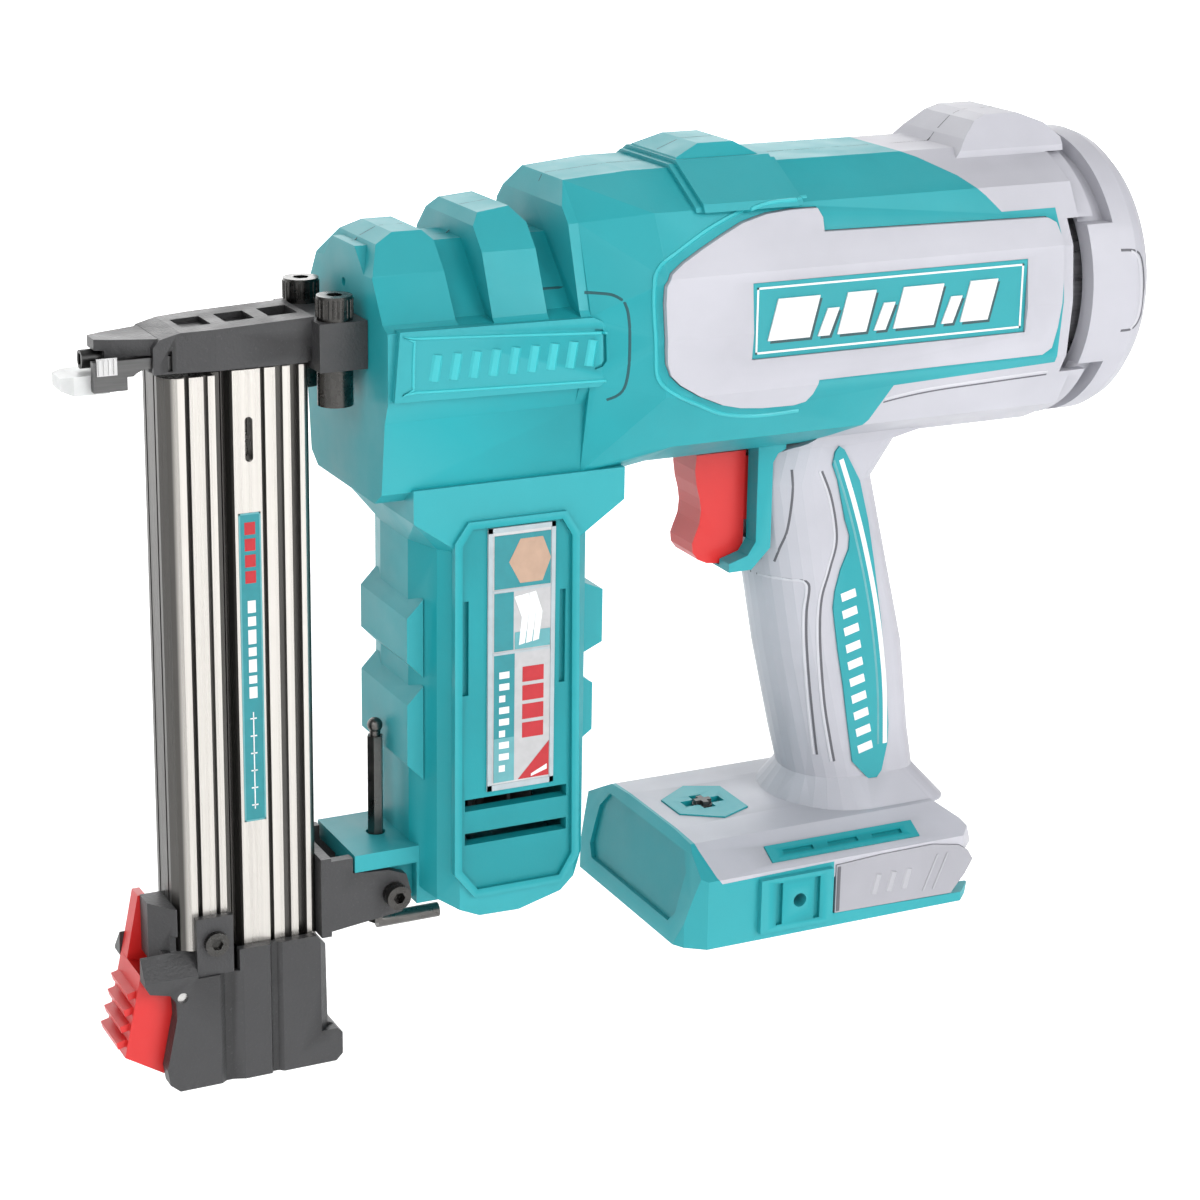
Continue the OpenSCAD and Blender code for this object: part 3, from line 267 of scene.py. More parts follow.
MATERIALS = {
    "teal_shell": moulded("teal_nylon", TEAL, 0.44, 0.12, 0.35, 0.35),
    "teal_trim": moulded("teal_trim", scaled(TEAL, 0.92), 0.42, 0.10, 0.35, 0.35),
    "grey_shell": moulded("grey_nylon", GREY, 0.44, 0.12, 0.25, 0.4),
    "grey_panel": moulded("grey_panel", scaled(GREY, 0.72), 0.42, 0.12, 0.25, 0.4),
    "label": printed("label_film", (0.50, 0.51, 0.52)),
    "black_plastic": moulded("black_nylon", (0.02, 0.02, 0.021), 0.45, 0.15, 0.3),
    "circuit_board": printed("board", (0.015, 0.10, 0.04)),
    "red_plastic": moulded("red_nylon", RED, 0.33, 0.06, 0.2),
    "spring_steel": brushed("spring_wire", (0.55, 0.55, 0.55), 0.28),
    "ground_steel": brushed("ground_steel", (0.56, 0.55, 0.54), 0.26, (60.0, 900.0, 900.0)),
    "plated_steel": brushed("dark_plate", (0.12, 0.12, 0.12), 0.34, (60.0, 900.0, 900.0)),
    "key_steel": brushed("key_steel", (0.13, 0.125, 0.12), 0.30, (250.0, 250.0, 250.0), 0.04),
    "black_screws": brushed("black_oxide", (0.075, 0.073, 0.07), 0.26, (400.0, 400.0, 400.0), 0.06),
    "cast_alloy": brushed("cast_alloy", (0.56, 0.56, 0.56), 0.40, (300.0, 300.0, 300.0)),
    "ring_nylon": moulded("ring_nylon", (0.03, 0.03, 0.033), 0.5, 0.2),
    "drawn_alloy": brushed("drawn_alloy", (0.62, 0.62, 0.63), 0.30, (14.0, 900.0, 900.0)),
    "rubber_parts": moulded("elastomer", (0.02, 0.02, 0.02), 0.7, 0.2, 0.1, 0.3),
    "black_casting": sandy("sandy_casting", (0.020, 0.020, 0.021), 0.42),
    "extrusion": extruded("extrusion", (0.60, 0.575, 0.54)),
    "clear_tip": milky("milky_tip", (0.56, 0.57, 0.57)),
}

SLOT_OF = {row["node"]: row["material_slot"] for row in frame["record"]["subparts"]}

# width of the rounded edges, in mm, for the nodes that show
ROUNDED = {
    "front_housing_left": 1.1, "front_housing_right": 1.1, "rear_housing_left": 1.1,
    "rear_housing_right": 1.1, "side_cover_left": 0.7, "side_cover_right": 0.7,
    "badge_plates": 0.3, "end_cap": 0.9, "grip_inserts": 0.4, "battery_shoe": 0.6,
    "shoe_panels": 0.4, "vent_strips": 0.25, "button_bezel": 0.4, "mode_button": 0.25,
    "trigger": 1.2, "nose_block": 0.5, "nose_screws": 0.3, "contact_trip": 0.3,
    "no_mar_tip": 0.8, "magazine_rail": 0.2, "magazine_cover": 0.2, "magazine_foot": 0.6,
    "foot_screws": 0.25, "magazine_latch": 0.6, "support_bracket": 0.5,
    "bracket_screws": 0.35, "hex_key": 0.15, "nose_guide": 0.2,
}

DARK_GUIDE = brushed("dark_guide", (0.05, 0.05, 0.05), 0.35, (300.0, 300.0, 300.0), 0.06)

for name, node in NODES.items():
    material = DARK_GUIDE if name == "nose_guide" else MATERIALS[SLOT_OF[name]]
    node.data.materials.clear()
    node.data.materials.append(material)
    if name in ROUNDED:
        flat = node.modifiers.new("flat", "DECIMATE")
        flat.decimate_type = "DISSOLVE"
        flat.angle_limit = math.radians(FLAT_BELOW)
        soft = node.modifiers.new("soft", "BEVEL")
        soft.width = ROUNDED[name] * MM
        soft.segments = 2
        soft.limit_method = "ANGLE"
        soft.angle_limit = math.radians(ROUND_ABOVE)
        soft.use_clamp_overlap = True
        soft.harden_normals = True
    for face in node.data.polygons:
        face.use_smooth = True
    node.data.set_sharp_from_angle(angle=math.radians(SHARP_ABOVE))

# ---------------------------------------------------------------- detail pieces


def ink(name, colour):
    """Printing ink."""
    return printed("ink_" + name, colour, 0.38)


INK = {
    "white": ink("white", (0.72, 0.74, 0.75)),
    "silver": ink("silver", (0.42, 0.42, 0.43)),
    "edge": ink("edge", (0.36, 0.42, 0.45)),
    "teal": ink("teal", (0.012, 0.21, 0.24)),
    "mist": ink("mist", (0.10, 0.32, 0.35)),
    "tan": ink("tan", (0.42, 0.28, 0.20)),
    "red": ink("red", (0.42, 0.010, 0.018)),
    # dark ink: used only for the painted shadows under the badge bars
    "dark": ink("dark", (0.02, 0.07, 0.08)),
}
# dark strips laid on the surface: painted shade standing in for the shadow inside grooves and seams
GROOVE_SHADE_GREY = moulded("groove_shade_grey", (0.10, 0.10, 0.115), 0.55, 0.05, 0.0)
GROOVE_SHADE_TEAL = moulded("groove_shade_teal", (0.004, 0.075, 0.088), 0.55, 0.05, 0.0)
# the two ridge colours are lighter than their shells: painted highlights on the ridges
RIDGE_HIGHLIGHT_TEAL = moulded("ridge_highlight_teal", (0.02, 0.40, 0.44), 0.36, 0.05, 0.1)
RAISED_GREY = moulded("raised_grey", (0.36, 0.36, 0.39), 0.40, 0.05, 0.1)
RIDGE_HIGHLIGHT_GREY = moulded("ridge_highlight_grey", (0.50, 0.50, 0.54), 0.38, 0.05, 0.1)


def finish_piece(name, mesh, material, body):
    """Turns a bmesh into a piece that rides on a body."""
    bmesh.ops.recalc_face_normals(mesh, faces=mesh.faces[:])
    data = bpy.data.meshes.new(name)
    mesh.to_mesh(data)
    mesh.free()
    data.materials.append(material)
    piece = bpy.data.objects.new(name, data)
    bpy.context.scene.collection.objects.link(piece)
    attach(piece, body)
    return piece


def join_rings(mesh, first, second):
    """Adds the band of faces between two rings of vertices."""
    count = len(first)
    for k in range(count):
        n = (k + 1) % count
        mesh.faces.new((first[k], first[n], second[n], second[k]))


def prism(mesh, outline, y0, y1):
    """Adds an x, z outline in metres, extruded between two y planes."""
    near = [mesh.verts.new((x, y0, z)) for x, z in outline]
    back = [mesh.verts.new((x, y1, z)) for x, z in outline]
    mesh.faces.new(near)
    mesh.faces.new(back[::-1])
    count = len(outline)
    for i in range(count):
        j = (i + 1) % count
        mesh.faces.new((near[i], back[i], back[j], near[j]))


# how far a printed shape reaches into the surface that it lies on
PRINT_SUNK = 0.02 * MM


def marks(name, outlines, y, thick, material, mirrored=False):
    """Thin printed shapes lying on a plane that faces the -Y side, or both sides."""
    mesh = bmesh.new()
    for outline in outlines:
        prism(mesh, outline, y - thick, y + PRINT_SUNK)
        if mirrored:
            prism(mesh, outline, -y - PRINT_SUNK, -y + thick)
    finish_piece(name, mesh, material, "housing")


def box_outline(x0, z0, x1, z1, lean=0.0):
    """Corners of an upright box whose top is moved along x by lean."""
    return [(x0, z0), (x1, z0), (x1 + lean, z1), (x0 + lean, z1)]


def smooth_path(points):
    """Points about 1 mm apart along a smooth curve through the given ones, in mm."""
    path = []
    for i in range(len(points) - 1):
        a, b = points[i], points[i + 1]
        before = points[i - 1] if i else a
        after = points[i + 2] if i + 2 < len(points) else b
        pieces = max(2, int(math.dist(a, b)))
        for k in range(pieces):
            t = k / pieces
            path.append(tuple(
                0.5 * (2 * p1 + (p2 - p0) * t + (2 * p0 - 5 * p1 + 4 * p2 - p3) * t * t
                       + (3 * p1 - p0 - 3 * p2 + p3) * t ** 3)
                for p0, p1, p2, p3 in zip(before, a, b, after)))
    return path + [tuple(points[-1])]


# search trees, made once for each node that a line is laid on
TREES = {}


def surface(node, at, direction):
    """Where a ray meets a node: the point, the surface normal and the distance, or None."""
    if node not in TREES:
        mesh = NODES[node].data
        TREES[node] = BVHTree.FromPolygons([v.co.copy() for v in mesh.vertices],
                                           [tuple(f.vertices) for f in mesh.polygons])
    hit = TREES[node].ray_cast(Vector(at), Vector(direction))
    return (hit[0], hit[1], hit[3]) if hit[0] is not None else None


def nearest_hit(nodes, at, direction):
    """The first of the nodes that a ray meets, as surface() gives it, or None."""
    hits = [h for h in (surface(n, at, direction) for n in nodes) if h]
    return min(hits, key=lambda h: h[2]) if hits else None


# Draped lines: rays start this far beside or above the middle, in metres. A line is broken
# where it jumps or two points fall together, and its edges are sunk this far, in mm.
BESIDE, ABOVE = 0.09, 0.4
LONGEST_JUMP = 4 * MM
SHORTEST_STEP = 1e-7
LINE_SUNK = 0.2


def draped_line(mesh, points, nodes, view, width, height):
    """Adds a low rounded strip laid over the nodes along x, z (or x, y) points in mm.

    view is -1 or 1 for the two sides and 0 for the top."""
    rows = []
    direction = Vector((0, -view, 0)) if view else Vector((0, 0, -1))
    for a, b in smooth_path(points):
        if view:
            at = (SHIFT + a * MM, view * BESIDE, b * MM)
        else:
            at = (SHIFT + a * MM, b * MM, ABOVE)
        hit = nearest_hit(nodes, at, direction)
        if hit:
            rows.append((hit[0], hit[1] if hit[1].dot(direction) < 0 else -hit[1]))
        else:
            rows.append(None)
    last = None
    for i, row in enumerate(rows):
        if row is None:
            last = None
            continue
        ahead = rows[i + 1] if i + 1 < len(rows) and rows[i + 1] else row
        behind = rows[i - 1] if i and rows[i - 1] else row
        tangent = ahead[0] - behind[0]
        jumps = last and (row[0] - behind[0]).length > LONGEST_JUMP
        if tangent.length < SHORTEST_STEP or jumps:
            last = None
            continue
        point, normal = row
        across = normal.cross(tangent.normalized()).normalized() * width * MM / 2
        low = normal * -LINE_SUNK * MM
        ring = [mesh.verts.new(point + v) for v in (
            across + low, across, across * 0.6 + normal * height * MM,
            across * -0.6 + normal * height * MM, -across, -across + low)]
        if last:
            join_rings(mesh, last, ring)
        else:
            mesh.faces.new(ring)
        last = ring
        if i + 1 == len(rows) or rows[i + 1] is None:
            mesh.faces.new(ring[::-1])


def lines(name, paths, nodes, material, width, height, slot="grey_shell", views=(-1, 1)):
    """Draped lines, on both sides unless views says otherwise."""
    mesh = bmesh.new()
    for path in paths:
        for view in views:
            draped_line(mesh, path, nodes, view, width, height)
    finish_piece(name, mesh, material, "housing")


def label_graphics():
    """Generic fields and bars on the film on the motor column."""
    low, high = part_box("column_label")
    wide, tall = high[0] - low[0], high[2] - low[2]
    y = low[1]

    def cell(u0, v0, u1, v1):
        return box_outline(low[0] + u0 * wide, low[2] + v0 * tall,
                           low[0] + u1 * wide, low[2] + v1 * tall)

    def at(u, v):
        return (low[0] + u * wide, low[2] + v * tall)

    base, over, top = 0.07 * MM, 0.14 * MM, 0.2 * MM
    marks("label_fields", [cell(0.07, 0.03, 0.93, 0.97)], y, base, INK["silver"])
    marks("label_strips", [cell(0.09, 0.77, 0.93, 0.97), cell(0.09, 0.535, 0.38, 0.755),
                           cell(0.09, 0.03, 0.40, 0.52)], y, over, INK["teal"])
    marks("label_scene", [cell(0.09, 0.03, 0.40, 0.20), cell(0.40, 0.535, 0.93, 0.60)], y,
          0.17 * MM, INK["mist"])
    middle, level, size = low[0] + 0.64 * wide, low[2] + 0.868 * tall, 0.335 * wide
    hexagon = []
    for degrees in range(0, 360, 60):
        angle = math.radians(degrees)
        hexagon.append((min(middle + size * math.cos(angle), low[0] + 0.93 * wide),
                        level + 1.08 * size * math.sin(angle)))
    marks("label_hexagon", [hexagon], y, top, INK["tan"])
    sheet = [(0.39, 0.735), (0.50, 0.74), (0.60, 0.66), (0.55, 0.555), (0.46, 0.55), (0.50, 0.655)]
    sheets = [[at(u + 0.105 * i, v + 0.004 * i) for u, v in sheet] for i in range(3)]
    marks("label_sheets", sheets, y, top, INK["white"])
    blocks = [cell(0.52, v, 0.84, v + 0.058) for v in (0.19, 0.262, 0.334, 0.406)]
    marks("label_blocks", blocks, y, over, INK["red"])
    bars = [cell(0.17, 0.07 + 0.045 * i, 0.32 if i % 3 else 0.26, 0.095 + 0.045 * i)
            for i in range(9)]
    marks("label_bars", bars, y, 0.21 * MM, INK["white"])
    marks("label_corner", [[at(0.93, 0.03), at(0.93, 0.165), at(0.46, 0.03)]], y, over,
          INK["red"])
    marks("label_flash", [[at(0.90, 0.055), at(0.90, 0.075), at(0.66, 0.045), at(0.66, 0.035)]],
          y, top, INK["white"])
    border = [cell(0, 0, 1, 0.022), cell(0, 0.982, 1, 1), cell(0, 0, 0.065, 1),
              cell(0.94, 0, 1, 1), cell(0.07, 0.757, 0.93, 0.766), cell(0.07, 0.521, 0.93, 0.53)]
    marks("label_border", border, y, 0.22 * MM, INK["edge"])


def rail_sticker():
    """Long film on the side of the magazine, with plain blocks, dashes and a scale line."""
    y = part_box("magazine_rail")[0][1]
    x0, x1, z0, z1 = (SHIFT - 118.7 * MM, SHIFT - 112.5 * MM, 75.5 * MM, 163 * MM)
    wide = x1 - x0
    base, over = 0.08 * MM, 0.16 * MM
    marks("sticker_field", [box_outline(x0, z0, x1, z1)], y, base, INK["teal"])
    edge = 0.45 * MM
    marks("sticker_edges", [box_outline(x0, z0, x0 + edge, z1), box_outline(x1 - edge, z0, x1, z1),
                            box_outline(x0, z0, x1, z0 + edge),
                            box_outline(x0, z1 - edge, x1, z1)], y, over, INK["mist"])
    marks("sticker_blocks", [box_outline(x0 + 0.26 * wide, z * MM, x1 - 0.26 * wide, (z + 3.4) * MM)
                             for z in (143.5, 148.0, 152.5, 157.0)], y, over, INK["red"])
    dashes = [(111, 3.2), (115.2, 2.2), (118.4, 3.6), (123.0, 2.4), (126.4, 4.0), (131.5, 2.6),
              (135.2, 3.4)]
    marks("sticker_dashes", [box_outline(x0 + 0.34 * wide, z * MM, x0 + 0.70 * wide, (z + h) * MM)
                             for z, h in dashes], y, over, INK["white"])
    middle = (x0 + x1) / 2
    ticks = [box_outline(middle - 0.15 * MM, 79 * MM, middle + 0.15 * MM, 107 * MM)]
    ticks += [box_outline(middle - 0.9 * MM, z * MM, middle + 0.9 * MM, (z + 0.35) * MM)
              for z in range(80, 107, 5)]
    marks("sticker_scale", ticks, y, over, INK["white"])


def badge_graphics():
    """A thin frame and plain slanted bars on the plate in the side cover, with painted shadows
    under the bars.
    """
    low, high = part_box("badge_plates")
    y = low[1]
    x0, x1, z0, z1 = low[0], high[0], low[2], high[2]
    inset, line = 1.2 * MM, 0.55 * MM
    a0, a1, c0, c1 = x0 + inset, x1 - inset, z0 + inset, z1 - inset
    frame_bars = [box_outline(a0, c0, a1, c0 + line), box_outline(a0, c1 - line, a1, c1),
                  box_outline(a0, c0, a0 + line, c1), box_outline(a1 - line, c0, a1, c1)]
    marks("badge_frame", frame_bars, y, 0.1 * MM, INK["white"], mirrored=True)
    tall = (c1 - c0) * 0.62
    foot = (c0 + c1 - tall) / 2
    widths = (13.0, 3.6, 9.0, 3.6, 13.0, 3.6, 9.0)
    x = a0 + 3.6 * MM
    bars, painted_shadows = [], []
    for i, width in enumerate(widths):
        drop = 0.34 * tall if i % 2 else 0.0
        bars.append(box_outline(x, foot, x + width * MM, foot + tall - drop, 2.9 * MM))
        # painted shadow of each bar, moved 0.9 mm along x and down
        painted_shadows.append([(u + 0.9 * MM, v - 0.9 * MM) for u, v in bars[-1]])
        x += (width + 2.6) * MM
    marks("badge_painted_shadows", painted_shadows, y, 0.08 * MM, INK["dark"], mirrored=True)
    marks("badge_bars", bars, y, 0.5 * MM, INK["white"], mirrored=True)


REAR = ("rear_housing_left", "rear_housing_right")
FRONT = ("front_housing_left", "front_housing_right")

GRIP_OUTER = [(56.1, 157), (59.8, 148), (62.0, 136), (60.1, 127), (57.8, 118), (58, 105.5),
              (60.5, 86.5), (63.2, 73.5), (65, 66)]
GRIP_INNER = [(42, 124.4), (49, 124.2), (53.6, 123), (53.6, 114.5), (54.4, 104), (56.4, 90),
              (59.2, 74), (60.4, 68)]
SHOULDER = [(47, 158), (47.3, 150), (46.8, 140), (45.4, 133.5), (44.8, 129.5)]
LEAF_STRIPE = [(62.0, 160), (66.8, 147), (71.2, 133), (75.6, 116), (78.6, 100), (80.4, 86),
               (81.3, 70)]
LEAF_BARS = [(66.4, 118.4), (67.1, 113.0), (67.9, 107.6), (68.8, 102.2), (69.7, 96.8), (70.6, 91.4),
             (71.5, 86.0), (72.5, 80.6), (73.5, 75.2), (74.4, 69.8)]
NOSE_FRAME = [(-22, 208.0), (-76.6, 211.2), (-77.4, 210.4), (-77.8, 197.6), (-76.8, 196.9),
              (-22, 194.9)]
NOSE_BARS = [-72 + 5.6 * i for i in range(9)]
CAP_MARK = [(137.8, 219.5), (142.5, 219), (145.2, 216.5), (146.2, 207), (146, 199.5),
            (143.6, 196.4), (139.2, 196)]
BAND_LINE = [(-36.4, 218.6), (-24, 218.4), (-19.4, 217.6), (-17.2, 214.5), (-16.6, 206),
             (-16.9, 195.5), (-18.4, 191.2), (-21.5, 189.4)]
COVER_RIM = [(40.5, 239.5), (26, 239.2), (11, 234.8), (-2, 229), (-8.5, 225.3), (-10.6, 219),
             (-10.2, 203), (-9, 195), (-4, 190.6), (4, 186.6), (13, 182.6), (24, 180.8),
             (37, 181)]
UNDER_COVER = [(50, 176.5), (62, 180), (78, 182.4), (100, 183.4), (118, 184)]


def surface_lines():
    """Grooves and ridges that run over the housings. Groove strips are dark, painted shade in the
    grooves; ridge strips are lighter, painted highlights on the ridges.
    """
    lines("grip_grooves", [GRIP_OUTER, GRIP_INNER, SHOULDER], REAR, GROOVE_SHADE_GREY, 0.75, 0.05)
    lines("grip_ridges", [[(x - 0.9, z) for x, z in path] for path in (GRIP_OUTER, GRIP_INNER)],
          REAR, RIDGE_HIGHLIGHT_GREY, 0.8, 0.16)
    lines("leaf_stripe", [LEAF_STRIPE], ("grip_inserts",), INK["white"], 1.5, 0.08,
          slot="teal_trim")
    lines("leaf_line", [[(x - 2.4, z) for x, z in LEAF_STRIPE]], ("grip_inserts",), INK["mist"],
          0.7, 0.06, slot="teal_trim")
    lines("leaf_bars", [[(x - 2.4, z - 0.6), (x + 2.4, z + 0.6)] for x, z in LEAF_BARS],
          ("grip_inserts",), INK["white"], 2.6, 0.08, slot="teal_trim")
    lines("nose_frame", [NOSE_FRAME], FRONT, RIDGE_HIGHLIGHT_TEAL, 0.9, 0.3, slot="teal_shell")
    lines("nose_bars", [[(x, 199.4), (x + 1.2, 206.4)] for x in NOSE_BARS], FRONT, RIDGE_HIGHLIGHT_TEAL,
          2.8, 0.4, slot="teal_shell")
    low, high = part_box("shoe_panels")
    x0, x1 = (low[0] - SHIFT) / MM, (high[0] - SHIFT) / MM
    z0, z1 = low[2] / MM, high[2] / MM
    slants = [[(x1 - d, z0 + 2.5), (x1 - d + 4.5, z1 - 3.5)] for d in (13.5, 17)]
    lines("panel_ridges", slants, ("shoe_panels",), RAISED_GREY, 0.8, 0.3, slot="grey_panel")
    lines("panel_bars", [[(x0 + 13 + 5.2 * i, z0 + 4.5), (x0 + 14.6 + 5.2 * i, z0 + 10.5)]
                         for i in range(3)], ("shoe_panels",), RAISED_GREY, 2.2, 0.3,
          slot="grey_panel")
    lines("panel_edge", [[(x0 + 0.9, z0 + 1.2), (x0 + 0.9, z1 - 1.6)]], ("shoe_panels",),
          GROOVE_SHADE_GREY, 1.2, 0.12, slot="grey_panel")
    lines("cap_mark", [CAP_MARK], ("end_cap",), GROOVE_SHADE_GREY, 0.8, 0.05)
    lines("cap_ridge", [[(x - 1.3, z) for x, z in CAP_MARK[1:-1]]], ("end_cap",), RIDGE_HIGHLIGHT_GREY,
          0.9, 0.2)
    lines("band_line", [BAND_LINE], FRONT, GROOVE_SHADE_TEAL, 0.8, 0.05, slot="teal_shell")
    lines("cover_rim", [COVER_RIM], FRONT, RIDGE_HIGHLIGHT_TEAL, 1.2, 0.35, slot="teal_shell")
    lines("under_cover", [UNDER_COVER], REAR, GROOVE_SHADE_GREY, 0.6, 0.05)
    lines("under_cover_ridge", [[(x, z + 1.0) for x, z in UNDER_COVER]], REAR, RIDGE_HIGHLIGHT_GREY, 0.9,
          0.2)


def seam_line():
    """The joint between the two halves, over the top of the barrel and the nose, as a dark strip of
    painted shade.
    """
    across = -0.35
    lines("seam_teal", [[(-82, across), (-60, across), (-30, across), (0, across), (60, across),
                         (78, across)]], FRONT, GROOVE_SHADE_TEAL, 0.45, 0.0, slot="teal_shell",
          views=(0,))
    lines("seam_grey", [[(84, across), (100, across), (120, across), (130, across)]], REAR,
          GROOVE_SHADE_GREY, 0.45, 0.0, views=(0,))


def knurled_heads():
    """Ribs round the heads of the nose screws."""
    low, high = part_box("nose_screws")
    x = (low[0] + high[0]) / 2
    radius = (high[0] - low[0]) / 2
    offset = high[1] - radius
    top, bottom = high[2] - 0.8 * MM, high[2] - 5.6 * MM
    ribs, half_width, sunk, depth = 22, 0.34, 0.15 * MM, 0.4
    mesh = bmesh.new()
    for y in (-offset, offset):
        for i in range(ribs):
            angle = 2 * math.pi * i / ribs
            out = Vector((math.cos(angle), math.sin(angle), 0))
            side = Vector((-out.y, out.x, 0)) * half_width * MM
            centre = Vector((x, y, 0)) + out * (radius - sunk)
            tip = centre + out * depth * MM
            corners = (centre - side, tip - side * 0.3, tip + side * 0.3, centre + side)
            lower = [mesh.verts.new(p + Vector((0, 0, bottom))) for p in corners]
            upper = [mesh.verts.new(p + Vector((0, 0, top))) for p in corners]
            mesh.faces.new(lower)
            mesh.faces.new(upper[::-1])
            join_rings(mesh, lower, upper)
    finish_piece("screw_knurl", mesh, MATERIALS["black_screws"], "housing")


def arm_clip():
    """Ribbed sheet clip that holds the tip on the contact arm."""
    low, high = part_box("contact_trip")
    face = low[1]
    x0, x1 = low[0] + 0.8 * MM, low[0] + 6.2 * MM
    z0, z1 = high[2] - 3.6 * MM, high[2] + 1.0 * MM
    half_rib, margin = 0.35 * MM, 0.3 * MM
    mesh = bmesh.new()
    prism(mesh, box_outline(x0, z0, x1, z1), face - 0.5 * MM, face + 0.05 * MM)
    for i in range(4):
        x = x0 + (0.7 + 1.35 * i) * MM
        prism(mesh, box_outline(x - half_rib, z0 + margin, x + half_rib, z1 - margin),
              face - 0.85 * MM, face - 0.45 * MM)
    finish_piece("arm_clip", mesh, MATERIALS["spring_steel"], "contact_arm")


STEPS_PER_TURN = 18
WIRE_SIDES = 6


def coil_spring(node, axis, turns, wire):
    """Round-wire coil shown in place of a plain tube."""
    low, high = (Vector(v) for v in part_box(node))
    middle = (low + high) / 2
    k = 0 if axis[0] else 2
    a, b = [i for i in range(3) if i != k]
    length = high[k] - low[k]
    radius = (high[a] - low[a] - wire) / 2
    along = Vector(axis)
    steps = turns * STEPS_PER_TURN
    mesh = bmesh.new()
    last = None
    for i in range(steps + 1):
        angle = 2 * math.pi * i / STEPS_PER_TURN
        out = Vector((0, 0, 0))
        out[a], out[b] = math.cos(angle), math.sin(angle)
        centre = middle + out * radius
        centre[k] = low[k] + wire / 2 + (length - wire) * i / steps
        ring = []
        for q in range(WIRE_SIDES):
            turn = 2 * math.pi * q / WIRE_SIDES
            offset = out * math.cos(turn) + along * math.sin(turn)
            ring.append(mesh.verts.new(centre + offset * wire / 2))
        if last:
            join_rings(mesh, last, ring)
        else:
            mesh.faces.new(ring)
        last = ring
    mesh.faces.new(last[::-1])
    piece = finish_piece(node + "_coil", mesh, MATERIALS["spring_steel"], "housing")
    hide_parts(node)
    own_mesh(piece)


def coil_springs():
    """Coils behind the trigger, contact trip and mode button."""
    coil_spring("trigger_spring", (1, 0, 0), 7,
                0.7 * MM)
    coil_spring("trip_spring", (1, 0, 0), 6,
                0.35 * MM)
    coil_spring("button_spring", (0, 0, 1), 4,
                0.5 * MM)


label_graphics()
rail_sticker()
arm_clip()
coil_springs()
badge_graphics()
surface_lines()
seam_line()
knurled_heads()

# ---------------------------------------------------------------- camera, light, floor

# the photo's view, in degrees and metres
AZIMUTH, ELEVATION, ROLL = (math.radians(angle) for angle in (24.79, 16.71, 0.44))
DISTANCE = 0.8
AIM = Vector((SHIFT - 0.03275, 0.0, 0.146))
LENS, SENSOR = 85.49, 36.0
SHIFT_RIGHT, SHIFT_UP = 0.0695, -0.0602


def add_camera():
    """The camera that looks at AIM from the front left and above, rolled a little."""
    data = bpy.data.cameras.new("camera")
    camera = bpy.data.objects.new("camera", data)
    bpy.context.scene.collection.objects.link(camera)
    look = Vector((math.sin(AZIMUTH) * math.cos(ELEVATION),
                   math.cos(AZIMUTH) * math.cos(ELEVATION), -math.sin(ELEVATION)))
    right = Vector((math.cos(AZIMUTH), -math.sin(AZIMUTH), 0.0))
    up = right.cross(look)
    turned_right = math.cos(ROLL) * right + math.sin(ROLL) * up
    turned_up = -math.sin(ROLL) * right + math.cos(ROLL) * up
    columns = (turned_right, turned_up, -look, AIM - DISTANCE * look)
    rows = [tuple(column[i] for column in columns) for i in range(3)]
    camera.matrix_world = Matrix((*rows, (0.0, 0.0, 0.0, 1.0)))
    data.lens = LENS
    data.sensor_width = SENSOR
    data.shift_x = SHIFT_RIGHT
    data.shift_y = SHIFT_UP
    data.dof.use_dof = False
    bpy.context.scene.camera = camera


add_camera()


def area_light(name, location, target, size, power):
    """A soft rectangular light aimed at a point."""
    data = bpy.data.lights.new(name, "AREA")
    data.shape = "RECTANGLE"
    data.size, data.size_y = size
    data.energy = power
    light = bpy.data.objects.new(name, data)
    light.location = location
    light.rotation_euler = (Vector(target) - Vector(location)).to_track_quat("-Z", "Y").to_euler()
    bpy.context.scene.collection.objects.link(light)


area_light("key", (0.8, -1.4, 0.85), (0.0, 0.0, 0.12), (0.8, 0.7), 11.0)
area_light("fill", (-1.1, -0.7, 1.0), (0.0, 0.0, 0.12), (0.8, 0.6), 5.0)
area_light("top", (0.1, 0.2, 1.5), (0.0, 0.0, 0.1), (1.2, 1.0), 3.5)
area_light("rim", (0.4, 1.2, 0.8), (0.0, 0.0, 0.15), (0.9, 0.6), 3.0)

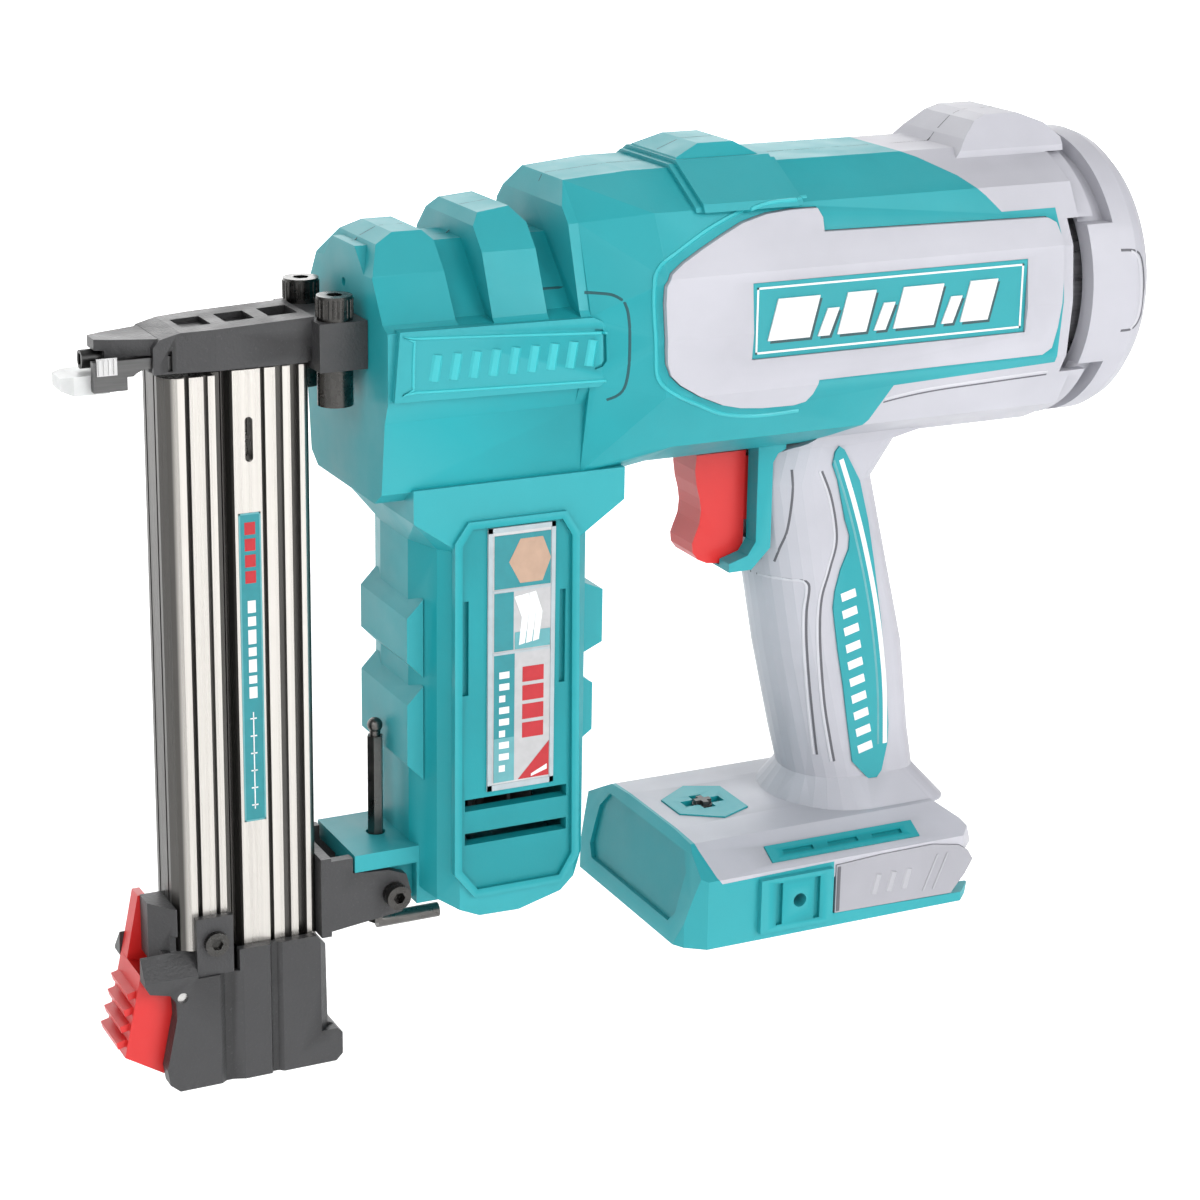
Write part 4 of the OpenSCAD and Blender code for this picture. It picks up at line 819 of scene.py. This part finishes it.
world = bpy.data.worlds.new("studio")
bpy.context.scene.world = world
world.use_nodes = True
background = world.node_tree.nodes["Background"]
background.inputs["Color"].default_value = (1.0, 1.0, 1.0, 1.0)
background.inputs["Strength"].default_value = 0.22
bpy.context.scene.view_settings.view_transform = "Standard"

# the opened magazine comes down almost to the floor
FLOOR_LEVEL = -0.134
FLAT_REACH, CURVE_RADIUS, WALL_TOP, FLOOR_WIDTH = 1.6, 0.8, 3.0, 8.0
CURVE_STEPS = 12


def backdrop():
    """A pale floor under the opened magazine, curving up into walls in front and behind."""
    curve = []
    for step in range(CURVE_STEPS + 1):
        angle = step * math.pi / 2 / CURVE_STEPS
        curve.append((FLAT_REACH + CURVE_RADIUS * math.sin(angle),
                      FLOOR_LEVEL + CURVE_RADIUS * (1 - math.cos(angle))))
    curve.append((FLAT_REACH + CURVE_RADIUS, FLOOR_LEVEL + WALL_TOP))
    profile = [(-y, z) for y, z in curve[::-1]] + curve
    mesh = bmesh.new()
    sides = (-FLOOR_WIDTH / 2, FLOOR_WIDTH / 2)
    rows = [[mesh.verts.new((x, y, z)) for x in sides] for y, z in profile]
    for a, b in zip(rows, rows[1:]):
        mesh.faces.new((a[0], a[1], b[1], b[0]))
    data = bpy.data.meshes.new("floor")
    mesh.to_mesh(data)
    mesh.free()
    floor = bpy.data.objects.new("floor", data)
    for face in data.polygons:
        face.use_smooth = True
    bpy.context.scene.collection.objects.link(floor)
    g = Graph("floor")
    base = g.mix(g.ramp(g.noise(3.0, 2.0), 0.3, 0.7), (0.88, 0.88, 0.88), (0.91, 0.91, 0.91))
    g.link(base, g.shader.inputs["Base Color"])
    place = g.add("ShaderNodeSeparateXYZ")
    g.link(g.coords, place.inputs[0])
    far = g.ramp(place.outputs[1], 0.5, 1.5, 0.42, 0.95)
    near = g.ramp(place.outputs[1], -1.6, -0.9, 0.25, 0.0)
    g.link(g.math("ADD", far, near), g.shader.inputs["Emission Strength"])
    g.shader.inputs["Emission Color"].default_value = (1.0, 1.0, 1.0, 1.0)
    g.set(Roughness=0.8, Specular_IOR_Level=0.2)
    data.materials.append(g.material)


backdrop()
